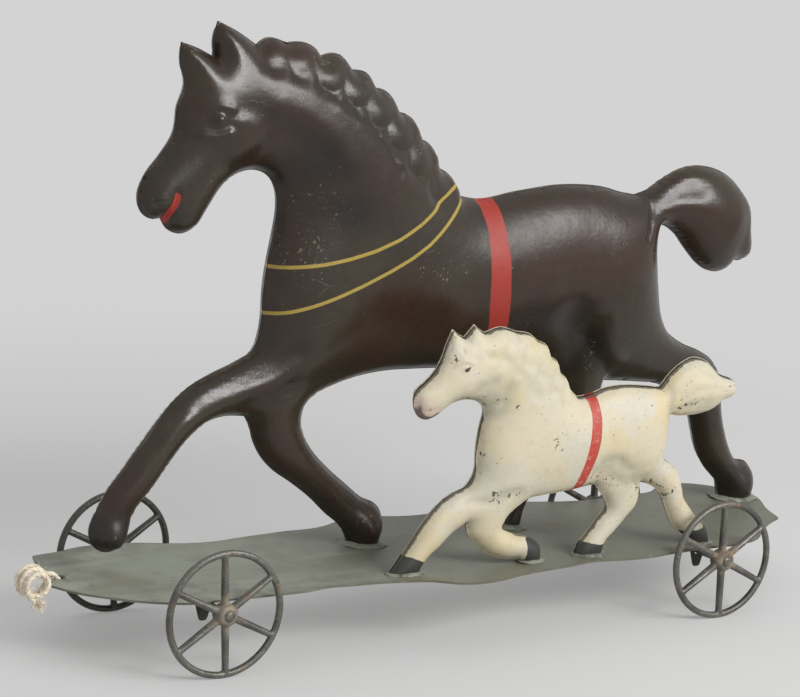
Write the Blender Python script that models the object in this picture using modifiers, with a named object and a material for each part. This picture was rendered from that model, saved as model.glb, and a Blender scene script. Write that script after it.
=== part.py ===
"""Tin platform toy: a large trotting horse and a small companion on a wheeled tin platform.

Run it with blender --background --python part.py, or from Blender's text editor.
Metres, +Z up. The horses head along -X and their left sides face -Y. The origin is on the floor,
under the middle of the toy.
"""
import math

import bmesh
import bpy
import numpy as np
from mathutils import Matrix, Vector
from mathutils.geometry import delaunay_2d_cdt

MM = 0.001
GAP = 0.3 * MM

# Wheels and axles
WHEEL_RADIUS = 22.25 * MM
RIM_WIDTH = 2.5 * MM
RIM_DEPTH = 1.9 * MM
RIM_BEVEL = 0.5 * MM
RIM_FACETS = 28
SPOKES = 6
SPOKE_FACETS = 6
FRONT_SPOKE_LEAN = math.radians(4.0)
REAR_SPOKE_LEAN = math.radians(2.2)
SPOKE_RADIUS_AT_HUB = 1.25 * MM
SPOKE_RADIUS_AT_RIM = 1.15 * MM
SPOKE_BREADTH = 1.25
HUB_RADIUS = 4.0 * MM
HUB_LENGTH = 6.4 * MM
AXLE_RADIUS = 1.4 * MM
AXLE_PROUD = 0.8 * MM
FRONT_AXLE_X = -113.9 * MM
REAR_AXLE_X = 96.9 * MM
TRACK = 80.4 * MM
ROUND_FACETS = 16

# Axle brackets, each a bent tin strip with two ears
BRACKET_TIN = 0.6 * MM
BRACKET_SPAN = 51.6 * MM
BRACKET_WIDTH = 9.0 * MM
EAR_TIP_WIDTH = 3.4 * MM
EAR_BELOW_AXLE = 6.4 * MM

# Platform
PLATE_TIN = 0.7 * MM
PLATE_ABOVE_AXLE = 4.05 * MM
PLATE_SPACING = 7.0 * MM
STRING_HOLE = (-153.9 * MM, 4.8 * MM)
STRING_HOLE_RADIUS = 2.6 * MM

# Horses: where each stands on the platform, its turn about Z, and how full its pressed halves are
BIG_HORSE_PLACE = (-8.5 * MM, 11.0 * MM)
BIG_HORSE_TURN = math.radians(4.0)
BIG_HORSE_FULLNESS = 4.2 * MM
BIG_HORSE_TIN = 0.6 * MM
BIG_HORSE_SPACING = 7.0 * MM
SMALL_HORSE_PLACE = (-8.5 * MM, -29.5 * MM)
SMALL_HORSE_TURN = 0.0
SMALL_HORSE_FULLNESS = 2.0 * MM
SMALL_HORSE_TIN = 0.5 * MM
SMALL_HORSE_SPACING = 5.0 * MM
HOOF_LIFT = 1.3 * MM

# Mesh of a pressed half: steps in each stretch of an outline, the ring of points inside the seam as
# a share of the fullness, and how clear points stay of the seam, the ring and each other, as shares
# of the ring and the spacing
RUN_STEPS = 12
SEAM_RING = 0.3
RING_CLEARANCE = 0.6
FILLING_CLEARANCE = 0.4
POINT_CLEARANCE = 0.5

# The pad of solder under each hoof that stands on the platform
SOLDER_RIM = 1.5 * MM
SOLDER_SLOPE = 0.8 * MM
SOLDER_FACETS = 20

# Pull string: it comes up through the platform's hole and over the front edge, is wound into a
# knot whose turns lie nearly along X, and ends in a short drop. The lead's points, in millimetres,
# are from the hole at the platform's top. Places in the knot are (along, up, out), where out is
# away from the platform, to the left.
STRING_DIAMETER = 1.9 * MM
STRING_POINTS = 78
STRING_LEAD = [
    (2.7, 0.9, -3.5),
    (0.0, 0.0, -0.4),
    (-2.5, -1.5, 1.6),
    (-5.0, -2.9, 2.4),
    (-7.4, -3.8, 3.4),
]
STRING_END = [(-1.6, -4.0, 3.7), (-0.2, -5.3, 4.0), (1.2, -5.9, 4.2)]
KNOT_SPOT = (-166.3 * MM, -1.2 * MM)
KNOT_ABOVE_PLATE = 0.8 * MM
KNOT_FACING = math.radians(-8.0)
KNOT_START = math.radians(52.0)
KNOT_PITCH = 2.6 * MM
KNOT_POINTS_PER_TURN = 16
KNOT_POINTS = 38
# Radius of the knot's first, second and third turn, and the place of its middle (along, up)
KNOT_TURNS = [(4.9, 0.1, 0.2), (4.6, 0.2, 0.2), (3.9, 1.3, -0.3)]

# Outlines are lists of smooth runs in millimetres. Each run starts where the one before it ended,
# at a corner. Horse outlines are (along, up) from the horse's place on the platform, which is 0,
# and the hooves run on below it, because they are cut flat at HOOF_LIFT.
BIG_HORSE_OUTLINE = [
    # Front ear, face and muzzle
    [(-97.5, 176.4), (-104.0, 179.4), (-110.8, 181.6)],
    [(-110.8, 181.6), (-110.6, 174.0), (-108.4, 167.5), (-110.8, 160.0), (-111.6, 151.5),
     (-116.2, 144.4), (-121.8, 137.5), (-124.3, 130.8), (-123.2, 125.2), (-119.2, 122.4),
     (-115.3, 122.6)],
    # Mouth, chin, jaw and throat
    [(-115.3, 122.6), (-112.4, 118.7), (-107.6, 116.9), (-102.8, 118.2), (-97.6, 125.0), (-92.2, 132.5),
     (-86.0, 136.6), (-79.2, 137.8), (-72.8, 135.6), (-68.7, 130.0), (-67.7, 124.0), (-68.4, 116.0),
     (-70.0, 106.0), (-71.1, 94.0), (-71.2, 84.0), (-74.0, 74.6), (-80.5, 71.2), (-91.0, 67.3),
     (-99.0, 63.6), (-105.0, 59.2), (-110.8, 52.8), (-117.6, 44.6), (-124.6, 35.8), (-130.3, 28.8),
     (-133.8, 22.6), (-136.0, 17.4), (-135.6, 12.4), (-131.6, 8.6), (-126.6, 8.4), (-122.6, 11.4),
     (-121.2, 17.0), (-119.4, 21.6), (-114.6, 27.2), (-109.8, 33.2), (-105.2, 39.2), (-99.4, 45.4),
     (-92.0, 50.4), (-85.0, 52.0), (-76.0, 51.4)],
    # Second fore leg down to its hoof
    [(-76.0, 51.4), (-73.6, 47.6), (-71.4, 41.6), (-68.2, 36.4), (-63.0, 31.2), (-54.5, 25.6),
     (-45.8, 19.3), (-38.3, 12.7), (-31.6, 7.4), (-28.8, 3.8), (-27.4, 0.6), (-27.0, -3.0)],
    [(-27.0, -3.0), (-15.4, -3.0)],
    [(-15.4, -3.0), (-15.0, 1.0), (-13.6, 6.0), (-14.4, 11.6), (-17.8, 15.0), (-22.6, 17.0),
     (-30.6, 22.9), (-39.9, 30.3), (-47.2, 37.6), (-51.2, 44.0), (-52.6, 49.4), (-51.6, 53.4),
     (-47.6, 56.6), (-40.4, 59.4), (-30.0, 62.0), (-16.8, 63.4), (-4.0, 63.2), (10.0, 62.8),
     (26.0, 63.8), (40.0, 65.6), (52.0, 65.0)],
    # Forward hind leg
    [(52.0, 65.0), (57.4, 59.0), (62.4, 51.6), (65.0, 45.0), (64.0, 38.4), (59.4, 30.4), (52.8, 21.4),
     (46.6, 12.8), (42.8, 6.6), (40.6, 1.0), (40.0, -3.0)],
    [(40.0, -3.0), (50.6, -3.0)],
    [(50.6, -3.0), (50.4, 2.0), (51.8, 6.4), (55.4, 11.4), (59.6, 17.6), (66.2, 25.6), (73.6, 33.6),
     (81.0, 40.4), (84.2, 46.0), (85.4, 52.6)],
    # Underside of the thigh and rear hind leg
    [(85.4, 52.6), (93.6, 51.8), (103.0, 50.8), (115.8, 48.6), (125.4, 43.8), (132.6, 35.8),
     (135.6, 28.0), (138.4, 20.6), (143.4, 13.6), (148.0, 9.4), (151.4, 6.2), (152.8, 1.4),
     (153.2, -3.0)],
    [(153.2, -3.0), (166.4, -3.0)],
    [(166.4, -3.0), (167.0, 1.0), (168.2, 5.4), (167.6, 10.6), (163.6, 14.6), (159.0, 15.4),
     (154.4, 20.8), (150.2, 29.6), (147.6, 38.0), (146.6, 46.0), (144.6, 52.4), (140.8, 57.0),
     (134.6, 60.6), (124.4, 64.6), (116.2, 70.0), (111.4, 77.6), (108.9, 87.0), (107.0, 97.0),
     (106.2, 106.0), (107.0, 111.6)],
    # Tail
    [(107.0, 111.6), (111.4, 110.4), (116.6, 107.2), (123.4, 100.4), (129.0, 95.4), (134.6, 92.4),
     (139.6, 91.6), (144.4, 92.9), (146.9, 95.8)],
    [(146.9, 95.8), (151.8, 95.6), (155.4, 98.2), (155.4, 103.0)],
    [(155.4, 103.0), (154.2, 108.6), (153.9, 113.0), (152.4, 117.8), (148.2, 123.0), (141.8, 128.2),
     (132.2, 132.2), (124.4, 133.2), (116.4, 132.2), (108.2, 128.8), (101.0, 124.8), (94.8, 123.1)],
    # Back
    [(94.8, 123.1), (87.4, 124.4), (78.8, 126.6), (68.4, 127.8), (57.8, 128.1), (38.0, 126.4),
     (18.6, 124.3), (10.6, 125.7)],
    # Mane, lump by lump, and the rear ear
    [(10.6, 125.7), (9.6, 130.2), (5.0, 133.0)],
    [(5.0, 133.0), (2.8, 138.8), (-3.4, 142.6)],
    [(-3.4, 142.6), (-6.4, 149.6), (-14.6, 154.2)],
    [(-14.6, 154.2), (-18.2, 160.8), (-25.8, 164.0)],
    [(-25.8, 164.0), (-29.8, 169.0), (-37.0, 170.8)],
    [(-37.0, 170.8), (-41.4, 175.6), (-49.6, 176.2)],
    [(-49.6, 176.2), (-54.4, 180.4), (-62.0, 180.6)],
    [(-62.0, 180.6), (-67.8, 183.8), (-75.0, 182.8)],
    [(-75.0, 182.8), (-77.6, 182.0), (-80.8, 180.4)],
    [(-80.8, 180.4), (-88.8, 185.0), (-96.7, 188.5)],
    [(-96.7, 188.5), (-98.2, 182.0), (-97.5, 176.4)],
]

SMALL_HORSE_OUTLINE = [
    # Front ear, face, muzzle, jaw and chest
    [(-10.3, 83.0), (-13.0, 84.2), (-15.4, 85.9)],
    [(-15.4, 85.9), (-17.4, 81.0), (-19.2, 75.5), (-22.0, 71.0), (-25.6, 67.7), (-28.9, 65.0),
     (-29.4, 60.6), (-27.9, 56.9), (-24.4, 55.0), (-20.8, 55.8), (-17.2, 57.9), (-13.7, 60.1),
     (-6.4, 61.1), (-2.0, 59.6), (0.2, 56.1), (-0.8, 50.4), (-1.5, 41.5), (-1.6, 34.0), (-4.6, 29.6),
     (-10.5, 27.3), (-15.6, 24.1), (-20.6, 19.1), (-26.2, 11.2), (-30.4, 5.6), (-33.8, 1.0),
     (-35.8, -1.5)],
    [(-35.8, -1.5), (-22.6, -1.5)],
    [(-22.6, -1.5), (-21.8, 1.0), (-19.6, 4.4), (-14.4, 8.6), (-9.4, 13.2), (-3.6, 16.6)],
    # Bent fore leg
    [(-3.6, 16.6), (-2.6, 12.4), (0.8, 8.6), (7.8, 3.6), (14.6, 1.6), (20.6, 0.8), (22.4, -1.5)],
    [(22.4, -1.5), (29.9, -1.5)],
    [(29.9, -1.5), (29.8, 1.0), (29.2, 5.0), (24.4, 8.7), (17.6, 10.6), (11.4, 13.2)],
    [(11.4, 13.2), (13.6, 17.2), (17.8, 20.4), (22.7, 23.2), (29.2, 24.0), (37.9, 24.7), (44.9, 25.5),
     (51.3, 26.4)],
    # Forward hind leg
    [(51.3, 26.4), (55.0, 22.4), (57.6, 18.0), (53.6, 12.8), (49.2, 7.4), (47.0, 4.9), (45.6, 1.4),
     (45.2, -1.5)],
    [(45.2, -1.5), (57.0, -1.5)],
    [(57.0, -1.5), (57.0, 1.0), (57.8, 4.0), (61.6, 7.6), (66.6, 12.8), (70.8, 17.4), (71.6, 21.4),
     (71.4, 25.8)],
    # Rear hind leg
    [(71.4, 25.8), (77.4, 23.8), (81.0, 21.2), (85.0, 14.2), (89.4, 7.2), (94.4, 4.0), (97.2, 1.2),
     (98.6, -1.5)],
    [(98.6, -1.5), (107.0, -1.5)],
    [(107.0, -1.5), (106.4, 1.0), (105.0, 5.0), (99.6, 9.9), (96.6, 13.4), (92.6, 18.5), (90.8, 24.3),
     (88.8, 28.3), (85.2, 31.4), (81.6, 33.8)],
    # Rump and tail
    [(81.6, 33.8), (82.0, 39.4), (82.2, 46.1), (82.6, 50.4)],
    [(82.6, 50.4), (86.6, 49.5), (91.0, 49.4), (97.4, 49.9), (103.6, 51.7), (106.5, 53.9)],
    [(106.5, 53.9), (112.2, 56.4), (112.8, 59.2), (110.4, 61.6)],
    [(110.4, 61.6), (103.8, 64.0), (97.6, 69.0), (91.6, 70.5), (86.3, 68.6), (81.8, 65.2),
     (77.4, 60.2)],
    # Back, mane and rear ear
    [(77.4, 60.2), (70.7, 61.1), (61.2, 61.9), (52.3, 61.3), (45.8, 59.4), (40.6, 58.8)],
    [(40.6, 58.8), (37.2, 61.8), (35.4, 65.4), (31.8, 68.4)],
    [(31.8, 68.4), (30.8, 71.8), (27.4, 74.2)],
    [(27.4, 74.2), (25.4, 78.2), (21.0, 80.4)],
    [(21.0, 80.4), (17.2, 83.0), (11.8, 84.0)],
    [(11.8, 84.0), (4.6, 85.9), (-2.0, 84.2)],
    [(-2.0, 84.2), (-4.4, 85.6), (-6.5, 87.2)],
    [(-6.5, 87.2), (-8.6, 84.8), (-10.3, 83.0)],
]

# The platform's outline is (along X, along Y), with the origin's X and Y
PLATFORM_OUTLINE = [
    # Rear tip, far rear corner and far edge to the front
    [(148.2, -10.0), (150.8, -2.6), (153.2, 3.4), (157.6, 11.6), (160.6, 18.6), (160.0, 25.6),
     (155.8, 33.8), (152.0, 40.4), (146.8, 45.4), (139.8, 47.3), (131.0, 44.4), (122.6, 38.6),
     (112.0, 36.6), (96.9, 36.2), (79.6, 36.8), (70.6, 39.0), (62.0, 42.0), (46.0, 43.2), (28.0, 39.0),
     (10.6, 36.6), (2.0, 37.8), (-8.0, 40.6), (-20.0, 38.8), (-30.0, 34.6), (-50.0, 32.2),
     (-66.0, 30.4), (-80.0, 28.4), (-96.0, 31.4), (-110.0, 35.6), (-123.0, 36.6), (-132.0, 36.0),
     (-140.0, 33.6), (-150.0, 31.6)],
    # Front edge
    [(-150.0, 31.6), (-152.4, 25.0), (-154.2, 18.0), (-157.4, 7.0), (-160.6, -3.0)],
    # Near edge to the rear tip
    [(-160.6, -3.0), (-157.8, -9.0), (-154.0, -16.0), (-146.0, -23.4), (-134.6, -32.0), (-125.0, -35.8),
     (-113.9, -36.4), (-97.0, -36.4), (-80.0, -37.2), (-70.0, -35.2), (-58.0, -35.6), (-44.0, -37.0),
     (-32.0, -40.2), (-23.0, -45.2), (-13.0, -47.45), (-5.0, -46.2), (3.0, -43.6), (14.0, -41.0),
     (28.0, -39.4), (41.0, -37.2), (52.0, -38.6), (66.0, -39.0), (78.0, -36.9), (96.9, -36.3),
     (110.0, -35.0), (121.0, -30.8), (131.0, -22.0), (139.0, -15.6), (148.2, -10.0)],
]

# Embossed swellings in millimetres: (along, up), (reach along, reach up), height
BIG_HORSE_SWELLINGS = [
    ((-58, 98), (20, 24), 2.2),
    ((92, 92), (22, 26), 2.6),
    ((20, 96), (44, 24), 1.4),
    ((-90, 147), (9, 10), 1.4),
    ((-97, 160), (5, 4), 1.5),
    ((-118, 130), (5, 5), 1.0),
    ((-128, 14), (8, 7), 1.2),
    ((-22, 10), (8, 7), 1.2),
    ((48, 7), (8, 7), 1.2),
    ((161, 8), (8, 7), 1.2),
    ((132, 112), (14, 14), 1.6),
]
SMALL_HORSE_SWELLINGS = [
    ((8, 40), (10, 11), 1.0),
    ((72, 43), (10, 12), 1.2),
    ((40, 42), (20, 12), 0.8),
    ((-12, 68), (5, 5), 0.7),
    ((95, 60), (9, 8), 0.8),
]

# Hooves that stand on the platform: middle and length of each base, in millimetres along the horse
BIG_HORSE_HOOVES = {"fore": (-21.2, 12.4), "middle": (45.4, 10.2), "rear": (159.8, 14.2)}
SMALL_HORSE_HOOVES = {
    "front": (-27.6, 11.6),
    "bent": (25.6, 8.0),
    "middle": (51.2, 11.6),
    "rear": (101.8, 9.2),
}

PARTS = None
CUTTERS = None


def start_scene():
    """Empty the scene and make the collections for the parts and the cutters."""
    global PARTS, CUTTERS
    for old in list(bpy.data.objects):
        bpy.data.objects.remove(old, do_unlink=True)
    PARTS = bpy.data.collections.new("tin_horse_platform_toy")
    CUTTERS = bpy.data.collections.new("cutters")
    bpy.context.scene.collection.children.link(PARTS)
    bpy.context.scene.collection.children.link(CUTTERS)


def make_material(name, colour, roughness, metallic):
    material = bpy.data.materials.new(name)
    material.use_nodes = True
    shader = material.node_tree.nodes["Principled BSDF"]
    shader.inputs["Base Color"].default_value = (*colour, 1.0)
    shader.inputs["Roughness"].default_value = roughness
    shader.inputs["Metallic"].default_value = metallic
    material.diffuse_color = (*colour, 1.0)
    return material


def add_object(name, mesh, material=None, collection=None):
    """A new object in the parts, or in the given collection."""
    thing = bpy.data.objects.new(name, mesh)
    (collection or PARTS).objects.link(thing)
    if material:
        mesh.materials.clear()
        mesh.materials.append(material)
    return thing


def mesh_from(shape, name, smooth_angle=None):
    """Turn a bmesh into a mesh with its faces pointing out."""
    bmesh.ops.recalc_face_normals(shape, faces=shape.faces)
    mesh = bpy.data.meshes.new(name)
    shape.to_mesh(mesh)
    shape.free()
    if smooth_angle:
        mesh.shade_smooth()
        mesh.set_sharp_from_angle(angle=smooth_angle)
    return mesh


def bake(thing):
    """Replace an object's mesh by what its modifiers make of it."""
    bpy.context.view_layer.update()
    graph = bpy.context.evaluated_depsgraph_get()
    mesh = bpy.data.meshes.new_from_object(thing.evaluated_get(graph))
    thing.modifiers.clear()
    thing.data = mesh


def combine(thing, other, operation):
    """Join another object to this one, or cut it out, and remove the other."""
    boolean = thing.modifiers.new(operation.lower(), "BOOLEAN")
    boolean.operation = operation
    boolean.solver = "EXACT"
    boolean.object = other
    bake(thing)
    bpy.data.objects.remove(other, do_unlink=True)


def rod_mesh(name, radius, length, far_radius=None, facets=ROUND_FACETS):
    """A closed rod or cone along Z, centred on its origin."""
    shape = bmesh.new()
    bmesh.ops.create_cone(
        shape,
        cap_ends=True,
        segments=facets,
        radius1=radius,
        radius2=radius if far_radius is None else far_radius,
        depth=length,
    )
    return mesh_from(shape, name, math.radians(40))


def cutter(name, radius, length, matrix, facets=ROUND_FACETS):
    """A round cutter whose flats, not its corners, are at the radius."""
    mesh = rod_mesh(name, radius / math.cos(math.pi / facets), length, facets=facets)
    thing = add_object(name, mesh, collection=CUTTERS)
    thing.matrix_world = matrix
    thing.display_type = "WIRE"
    thing.hide_render = True
    return thing


def extrude_outline(shape, points, axis, depth):
    """Fill a closed outline of 3-D points and draw it out along an axis, centred."""
    shift = Vector(axis) * depth / 2
    face = shape.faces.new([shape.verts.new(Vector(point) - shift) for point in points])
    result = bmesh.ops.extrude_face_region(shape, geom=[face])
    moved = [part for part in result["geom"] if isinstance(part, bmesh.types.BMVert)]
    bmesh.ops.translate(shape, verts=moved, vec=2 * shift)


def smooth_run(points, spacing):
    """Points at about even spacing on a smooth curve through a run, without its last point."""
    points = np.array(points, float) * MM
    chords = np.linalg.norm(np.diff(points, axis=0), axis=1)
    stations = np.concatenate([[0.0], np.cumsum(chords)])
    slopes = np.gradient(points, stations, axis=0)
    fine = []
    for index, chord in enumerate(chords):
        for t in np.linspace(0.0, 1.0, RUN_STEPS, endpoint=False):
            fine.append(
                (2 * t**3 - 3 * t**2 + 1) * points[index]
                + (t**3 - 2 * t**2 + t) * chord * slopes[index]
                + (3 * t**2 - 2 * t**3) * points[index + 1]
                + (t**3 - t**2) * chord * slopes[index + 1]
            )
    fine = np.array(fine + [points[-1]])
    lengths = np.concatenate([[0.0], np.cumsum(np.linalg.norm(np.diff(fine, axis=0), axis=1))])
    count = max(2, round(lengths[-1] / spacing))
    even = np.linspace(0.0, lengths[-1], count, endpoint=False)
    return np.stack([np.interp(even, lengths, fine[:, axis]) for axis in (0, 1)], axis=1)


def closed_outline(runs, spacing):
    return np.concatenate([smooth_run(run, spacing) for run in runs])


def smooth_distance(points, outline):
    """A distance from the outline that has no ridges: near an edge it is the true distance.

    It is the square root of 2 over the sum, along the outline, of length over distance cubed.
    """
    starts = outline
    sides = np.roll(outline, -1, axis=0) - outline
    lengths = np.linalg.norm(sides, axis=1)
    along = sides / lengths[:, None]
    across = np.stack([-along[:, 1], along[:, 0]], axis=1)
    offsets = points[:, None, :] - starts[None, :, :]
    near = np.einsum("pij,ij->pi", offsets, along)
    beside = np.abs(np.einsum("pij,ij->pi", offsets, across))
    beside = np.maximum(beside, 1e-7)
    far = lengths[None, :] - near
    reach = far / np.hypot(far, beside) + near / np.hypot(near, beside)
    return np.sqrt(2.0 / np.sum(np.maximum(reach, 0.0) / beside**2, axis=1))


def is_inside(points, outline):
    """Whether each point lies inside the closed outline, by counting crossings."""
    x, y = points[:, 0][:, None], points[:, 1][:, None]
    x1, y1 = outline[:, 0], outline[:, 1]
    x2, y2 = np.roll(x1, -1), np.roll(y1, -1)
    crosses = (y1 > y) != (y2 > y)
    where = x1 + (y - y1) * (x2 - x1) / np.where(y2 == y1, 1.0, y2 - y1)
    return np.sum(crosses & (x < where), axis=1) % 2 == 1


def fill_outline(outline, spacing, ring, floor):
    """A flat triangle mesh in X and Y: the outline, a ring just inside it, and an even filling.

    What lies below the floor is cut off.
    """
    sides = np.roll(outline, -1, axis=0) - np.roll(outline, 1, axis=0)
    turned = np.stack([-sides[:, 1], sides[:, 0]], axis=1)
    turned /= np.linalg.norm(turned, axis=1)[:, None]
    area = np.sum(outline[:, 0] * np.roll(outline[:, 1], -1) - np.roll(outline[:, 0], -1) * outline[:, 1])
    inner = outline + turned * ring * np.sign(area)
    low, high = outline.min(axis=0), outline.max(axis=0)
    row_step = spacing * math.sqrt(3) / 2
    grid = []
    for row, y in enumerate(np.arange(low[1] + row_step / 2, high[1], row_step)):
        for x in np.arange(low[0] + (row % 2) * spacing / 2, high[0], spacing):
            grid.append((x, y))
    grid = np.array(grid)
    kept = []
    for group, clear in ((inner, RING_CLEARANCE * ring), (grid, ring + FILLING_CLEARANCE * spacing)):
        group = group[is_inside(group, outline)]
        group = group[smooth_distance(group, outline) > clear]
        for point in group:
            if not kept or np.min(np.linalg.norm(np.array(kept) - point, axis=1)) > POINT_CLEARANCE * spacing:
                kept.append(point)
    points = [Vector(point) for point in np.concatenate([outline, np.array(kept)])]
    count = len(outline)
    edges = [(index, (index + 1) % count) for index in range(count)]
    found = delaunay_2d_cdt(points, edges, [], 1, 1e-7)
    shape = bmesh.new()
    corners = [shape.verts.new((point.x, point.y, 0.0)) for point in found[0]]
    for triangle in found[2]:
        shape.faces.new([corners[index] for index in triangle])
    everything = list(shape.verts) + list(shape.edges) + list(shape.faces)
    bmesh.ops.bisect_plane(
        shape, geom=everything, dist=1e-7, plane_co=(0, floor, 0), plane_no=(0, -1, 0), clear_outer=True
    )
    chords = [
        edge
        for edge in shape.edges
        if not edge.is_boundary and edge.verts[0].is_boundary and edge.verts[1].is_boundary
    ]
    bmesh.ops.subdivide_edges(shape, edges=chords, cuts=1)
    bmesh.ops.triangulate(shape, faces=shape.faces)
    return shape


def pressed_height(points, outline, fullness, swellings):
    """Height of the pressed tin above the seam: round at the edge, full where the outline is wide."""
    distance = smooth_distance(points, outline)
    height = np.sqrt(2 * fullness * distance)
    fade = 1 - np.exp(-distance / fullness)
    for middle, reach, swelling in swellings:
        offset = (points / MM - np.array(middle)) / np.array(reach)
        height += swelling * MM * fade * np.exp(-np.sum(offset**2, axis=1))
    return height


def horse_half(name, runs, spacing, fullness, swellings, tin, side, place, material):
    """One pressed half of a horse, as a tin shell open at the seam. side is -1 for the left half."""
    outline = closed_outline(runs, spacing)
    shape = fill_outline(outline, spacing, SEAM_RING * fullness, HOOF_LIFT)
    points = np.array([(vert.co.x, vert.co.y) for vert in shape.verts])
    for vert, height in zip(shape.verts, pressed_height(points, outline, fullness, swellings)):
        vert.co.z = height
    bmesh.ops.recalc_face_normals(shape, faces=shape.faces)
    if sum(face.normal.z for face in shape.faces) < 0:
        bmesh.ops.reverse_faces(shape, faces=shape.faces)
    bmesh.ops.solidify(shape, geom=list(shape.faces), thickness=tin)
    for vert in shape.verts:
        vert.co.y = max(vert.co.y, HOOF_LIFT)
        vert.co.z = max(vert.co.z, 0.0) + GAP / 2
    # The outline's plane becomes the upright seam plane, and the height points to the half's side
    stand_up = Matrix(((1, 0, 0, 0), (0, 0, side, 0), (0, 1, 0, 0), (0, 0, 0, 1)))
    bmesh.ops.transform(shape, matrix=stand_up, verts=shape.verts)
    mesh = mesh_from(shape, name, math.radians(50))
    half = add_object(name, mesh, material)
    half.parent = place
    return half


def horse_place(name, spot, turn, height):
    """An empty where a horse stands on the platform, turned as the horse is."""
    empty = bpy.data.objects.new(name, None)
    PARTS.objects.link(empty)
    empty.location = (*spot, height)
    empty.rotation_euler = (0.0, 0.0, turn)
    return empty


def make_solder(horse, hooves, runs, spacing, fullness, swellings, place, material):
    """A low oval pad of solder under each standing hoof, as wide as the hoof and a rim more."""
    outline = closed_outline(runs, spacing)
    height = HOOF_LIFT - 2 * GAP
    for hoof, (middle, length) in hooves.items():
        foot = np.array([(middle * MM, HOOF_LIFT)])
        thickness = pressed_height(foot, outline, fullness, swellings)[0]
        name = f"{horse}_{hoof}_hoof_solder"
        half_length = length * MM / 2 + SOLDER_RIM
        half_width = thickness + SOLDER_RIM
        mesh = rod_mesh(name, 1.0, height, 1.0 - SOLDER_SLOPE / half_width, facets=SOLDER_FACETS)
        mesh.transform(Matrix.Diagonal((half_length, half_width, 1.0, 1.0)))
        solder = add_object(name, mesh, material)
        solder.parent = place
        solder.location = (middle * MM, 0.0, GAP + height / 2)


def make_platform(top, material):
    """The wavy tin plate, with its hole for the string."""
    outline = closed_outline(PLATFORM_OUTLINE, PLATE_SPACING)
    shape = bmesh.new()
    middle = top - PLATE_TIN / 2
    extrude_outline(shape, [(x, y, middle) for x, y in outline], (0, 0, 1), PLATE_TIN)
    platform = add_object("platform", mesh_from(shape, "platform"), material)
    hole = Matrix.Translation((*STRING_HOLE, middle))
    combine(platform, cutter("string_hole_cutter", STRING_HOLE_RADIUS, 4 * PLATE_TIN, hole), "DIFFERENCE")


def make_bracket(name, axle_x, strip_top, material):
    """A tin strip under the platform whose two ends bend down into tapered ears round the axle."""
    half = BRACKET_SPAN / 2
    inner = half - BRACKET_TIN
    tip = WHEEL_RADIUS - EAR_BELOW_AXLE
    section = [
        (-half, tip),
        (-half, strip_top),
        (half, strip_top),
        (half, tip),
        (inner, tip),
        (inner, strip_top - BRACKET_TIN),
        (-inner, strip_top - BRACKET_TIN),
        (-inner, tip),
    ]
    shape = bmesh.new()
    extrude_outline(shape, [(0.0, y, z) for y, z in section], (1, 0, 0), BRACKET_WIDTH)
    taper = EAR_TIP_WIDTH / BRACKET_WIDTH
    for vert in shape.verts:
        if vert.co.z < WHEEL_RADIUS:
            vert.co.x *= taper
    bracket = add_object(name, mesh_from(shape, name), material)
    bracket.location.x = axle_x
    hole = Matrix.Translation((axle_x, 0, WHEEL_RADIUS)) @ Matrix.Rotation(math.pi / 2, 4, "X")
    combine(bracket, cutter(f"{name}_cutter", AXLE_RADIUS + GAP, 2 * BRACKET_SPAN, hole), "DIFFERENCE")


def wheel_mesh(name, lean, material):
    """A cast wheel round Z: rim, tapered spokes and hub, joined, with a bore for the axle.

    A flat of the rim, not a corner, is centred on X, and lean is how far the first spoke is off it.
    """
    across_corners = WHEEL_RADIUS / math.cos(math.pi / RIM_FACETS)
    inner_radius = WHEEL_RADIUS - RIM_DEPTH
    half = RIM_WIDTH / 2
    rim_profile = [
        (inner_radius + RIM_BEVEL, half),
        (across_corners - RIM_BEVEL, half),
        (across_corners, half - RIM_BEVEL),
        (across_corners, RIM_BEVEL - half),
        (across_corners - RIM_BEVEL, -half),
        (inner_radius + RIM_BEVEL, -half),
        (inner_radius, 0.0),
    ]
    half_facet = math.pi / RIM_FACETS
    profile = bpy.data.meshes.new(name)
    count = len(rim_profile)
    corners = [
        (radius * math.cos(half_facet), radius * math.sin(half_facet), height)
        for radius, height in rim_profile
    ]
    profile.from_pydata(corners, [(index, (index + 1) % count) for index in range(count)], [])
    wheel = add_object("wheel_master", profile, material, CUTTERS)
    screw = wheel.modifiers.new("turn", "SCREW")
    screw.axis = "Z"
    screw.steps = RIM_FACETS
    screw.render_steps = RIM_FACETS
    screw.use_merge_vertices = True
    screw.merge_threshold = 0.01 * MM
    bake(wheel)
    spoke_start = AXLE_RADIUS + 2 * GAP
    spoke_end = inner_radius + RIM_DEPTH / 2
    length = spoke_end - spoke_start
    for index in range(SPOKES):
        angle = 2 * math.pi * index / SPOKES + lean
        rod = rod_mesh("spoke", SPOKE_RADIUS_AT_HUB, length, SPOKE_RADIUS_AT_RIM, facets=SPOKE_FACETS)
        spoke = add_object("spoke", rod, collection=CUTTERS)
        out = Matrix.Rotation(angle, 4, "Z") @ Matrix.Translation(((spoke_start + spoke_end) / 2, 0, 0))
        broad = Matrix.Diagonal((SPOKE_BREADTH, 1.0, 1.0, 1.0))
        spoke.matrix_world = out @ Matrix.Rotation(math.pi / 2, 4, "Y") @ broad
        combine(wheel, spoke, "UNION")
    hub = add_object("hub", rod_mesh("hub", HUB_RADIUS, HUB_LENGTH), collection=CUTTERS)
    combine(wheel, hub, "UNION")
    combine(wheel, cutter("bore", AXLE_RADIUS + GAP, 2 * HUB_LENGTH, Matrix.Identity(4)), "DIFFERENCE")
    mesh = wheel.data
    mesh.shade_smooth()
    mesh.set_sharp_from_angle(angle=math.radians(35))
    bpy.data.objects.remove(wheel, do_unlink=True)
    return mesh


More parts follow.
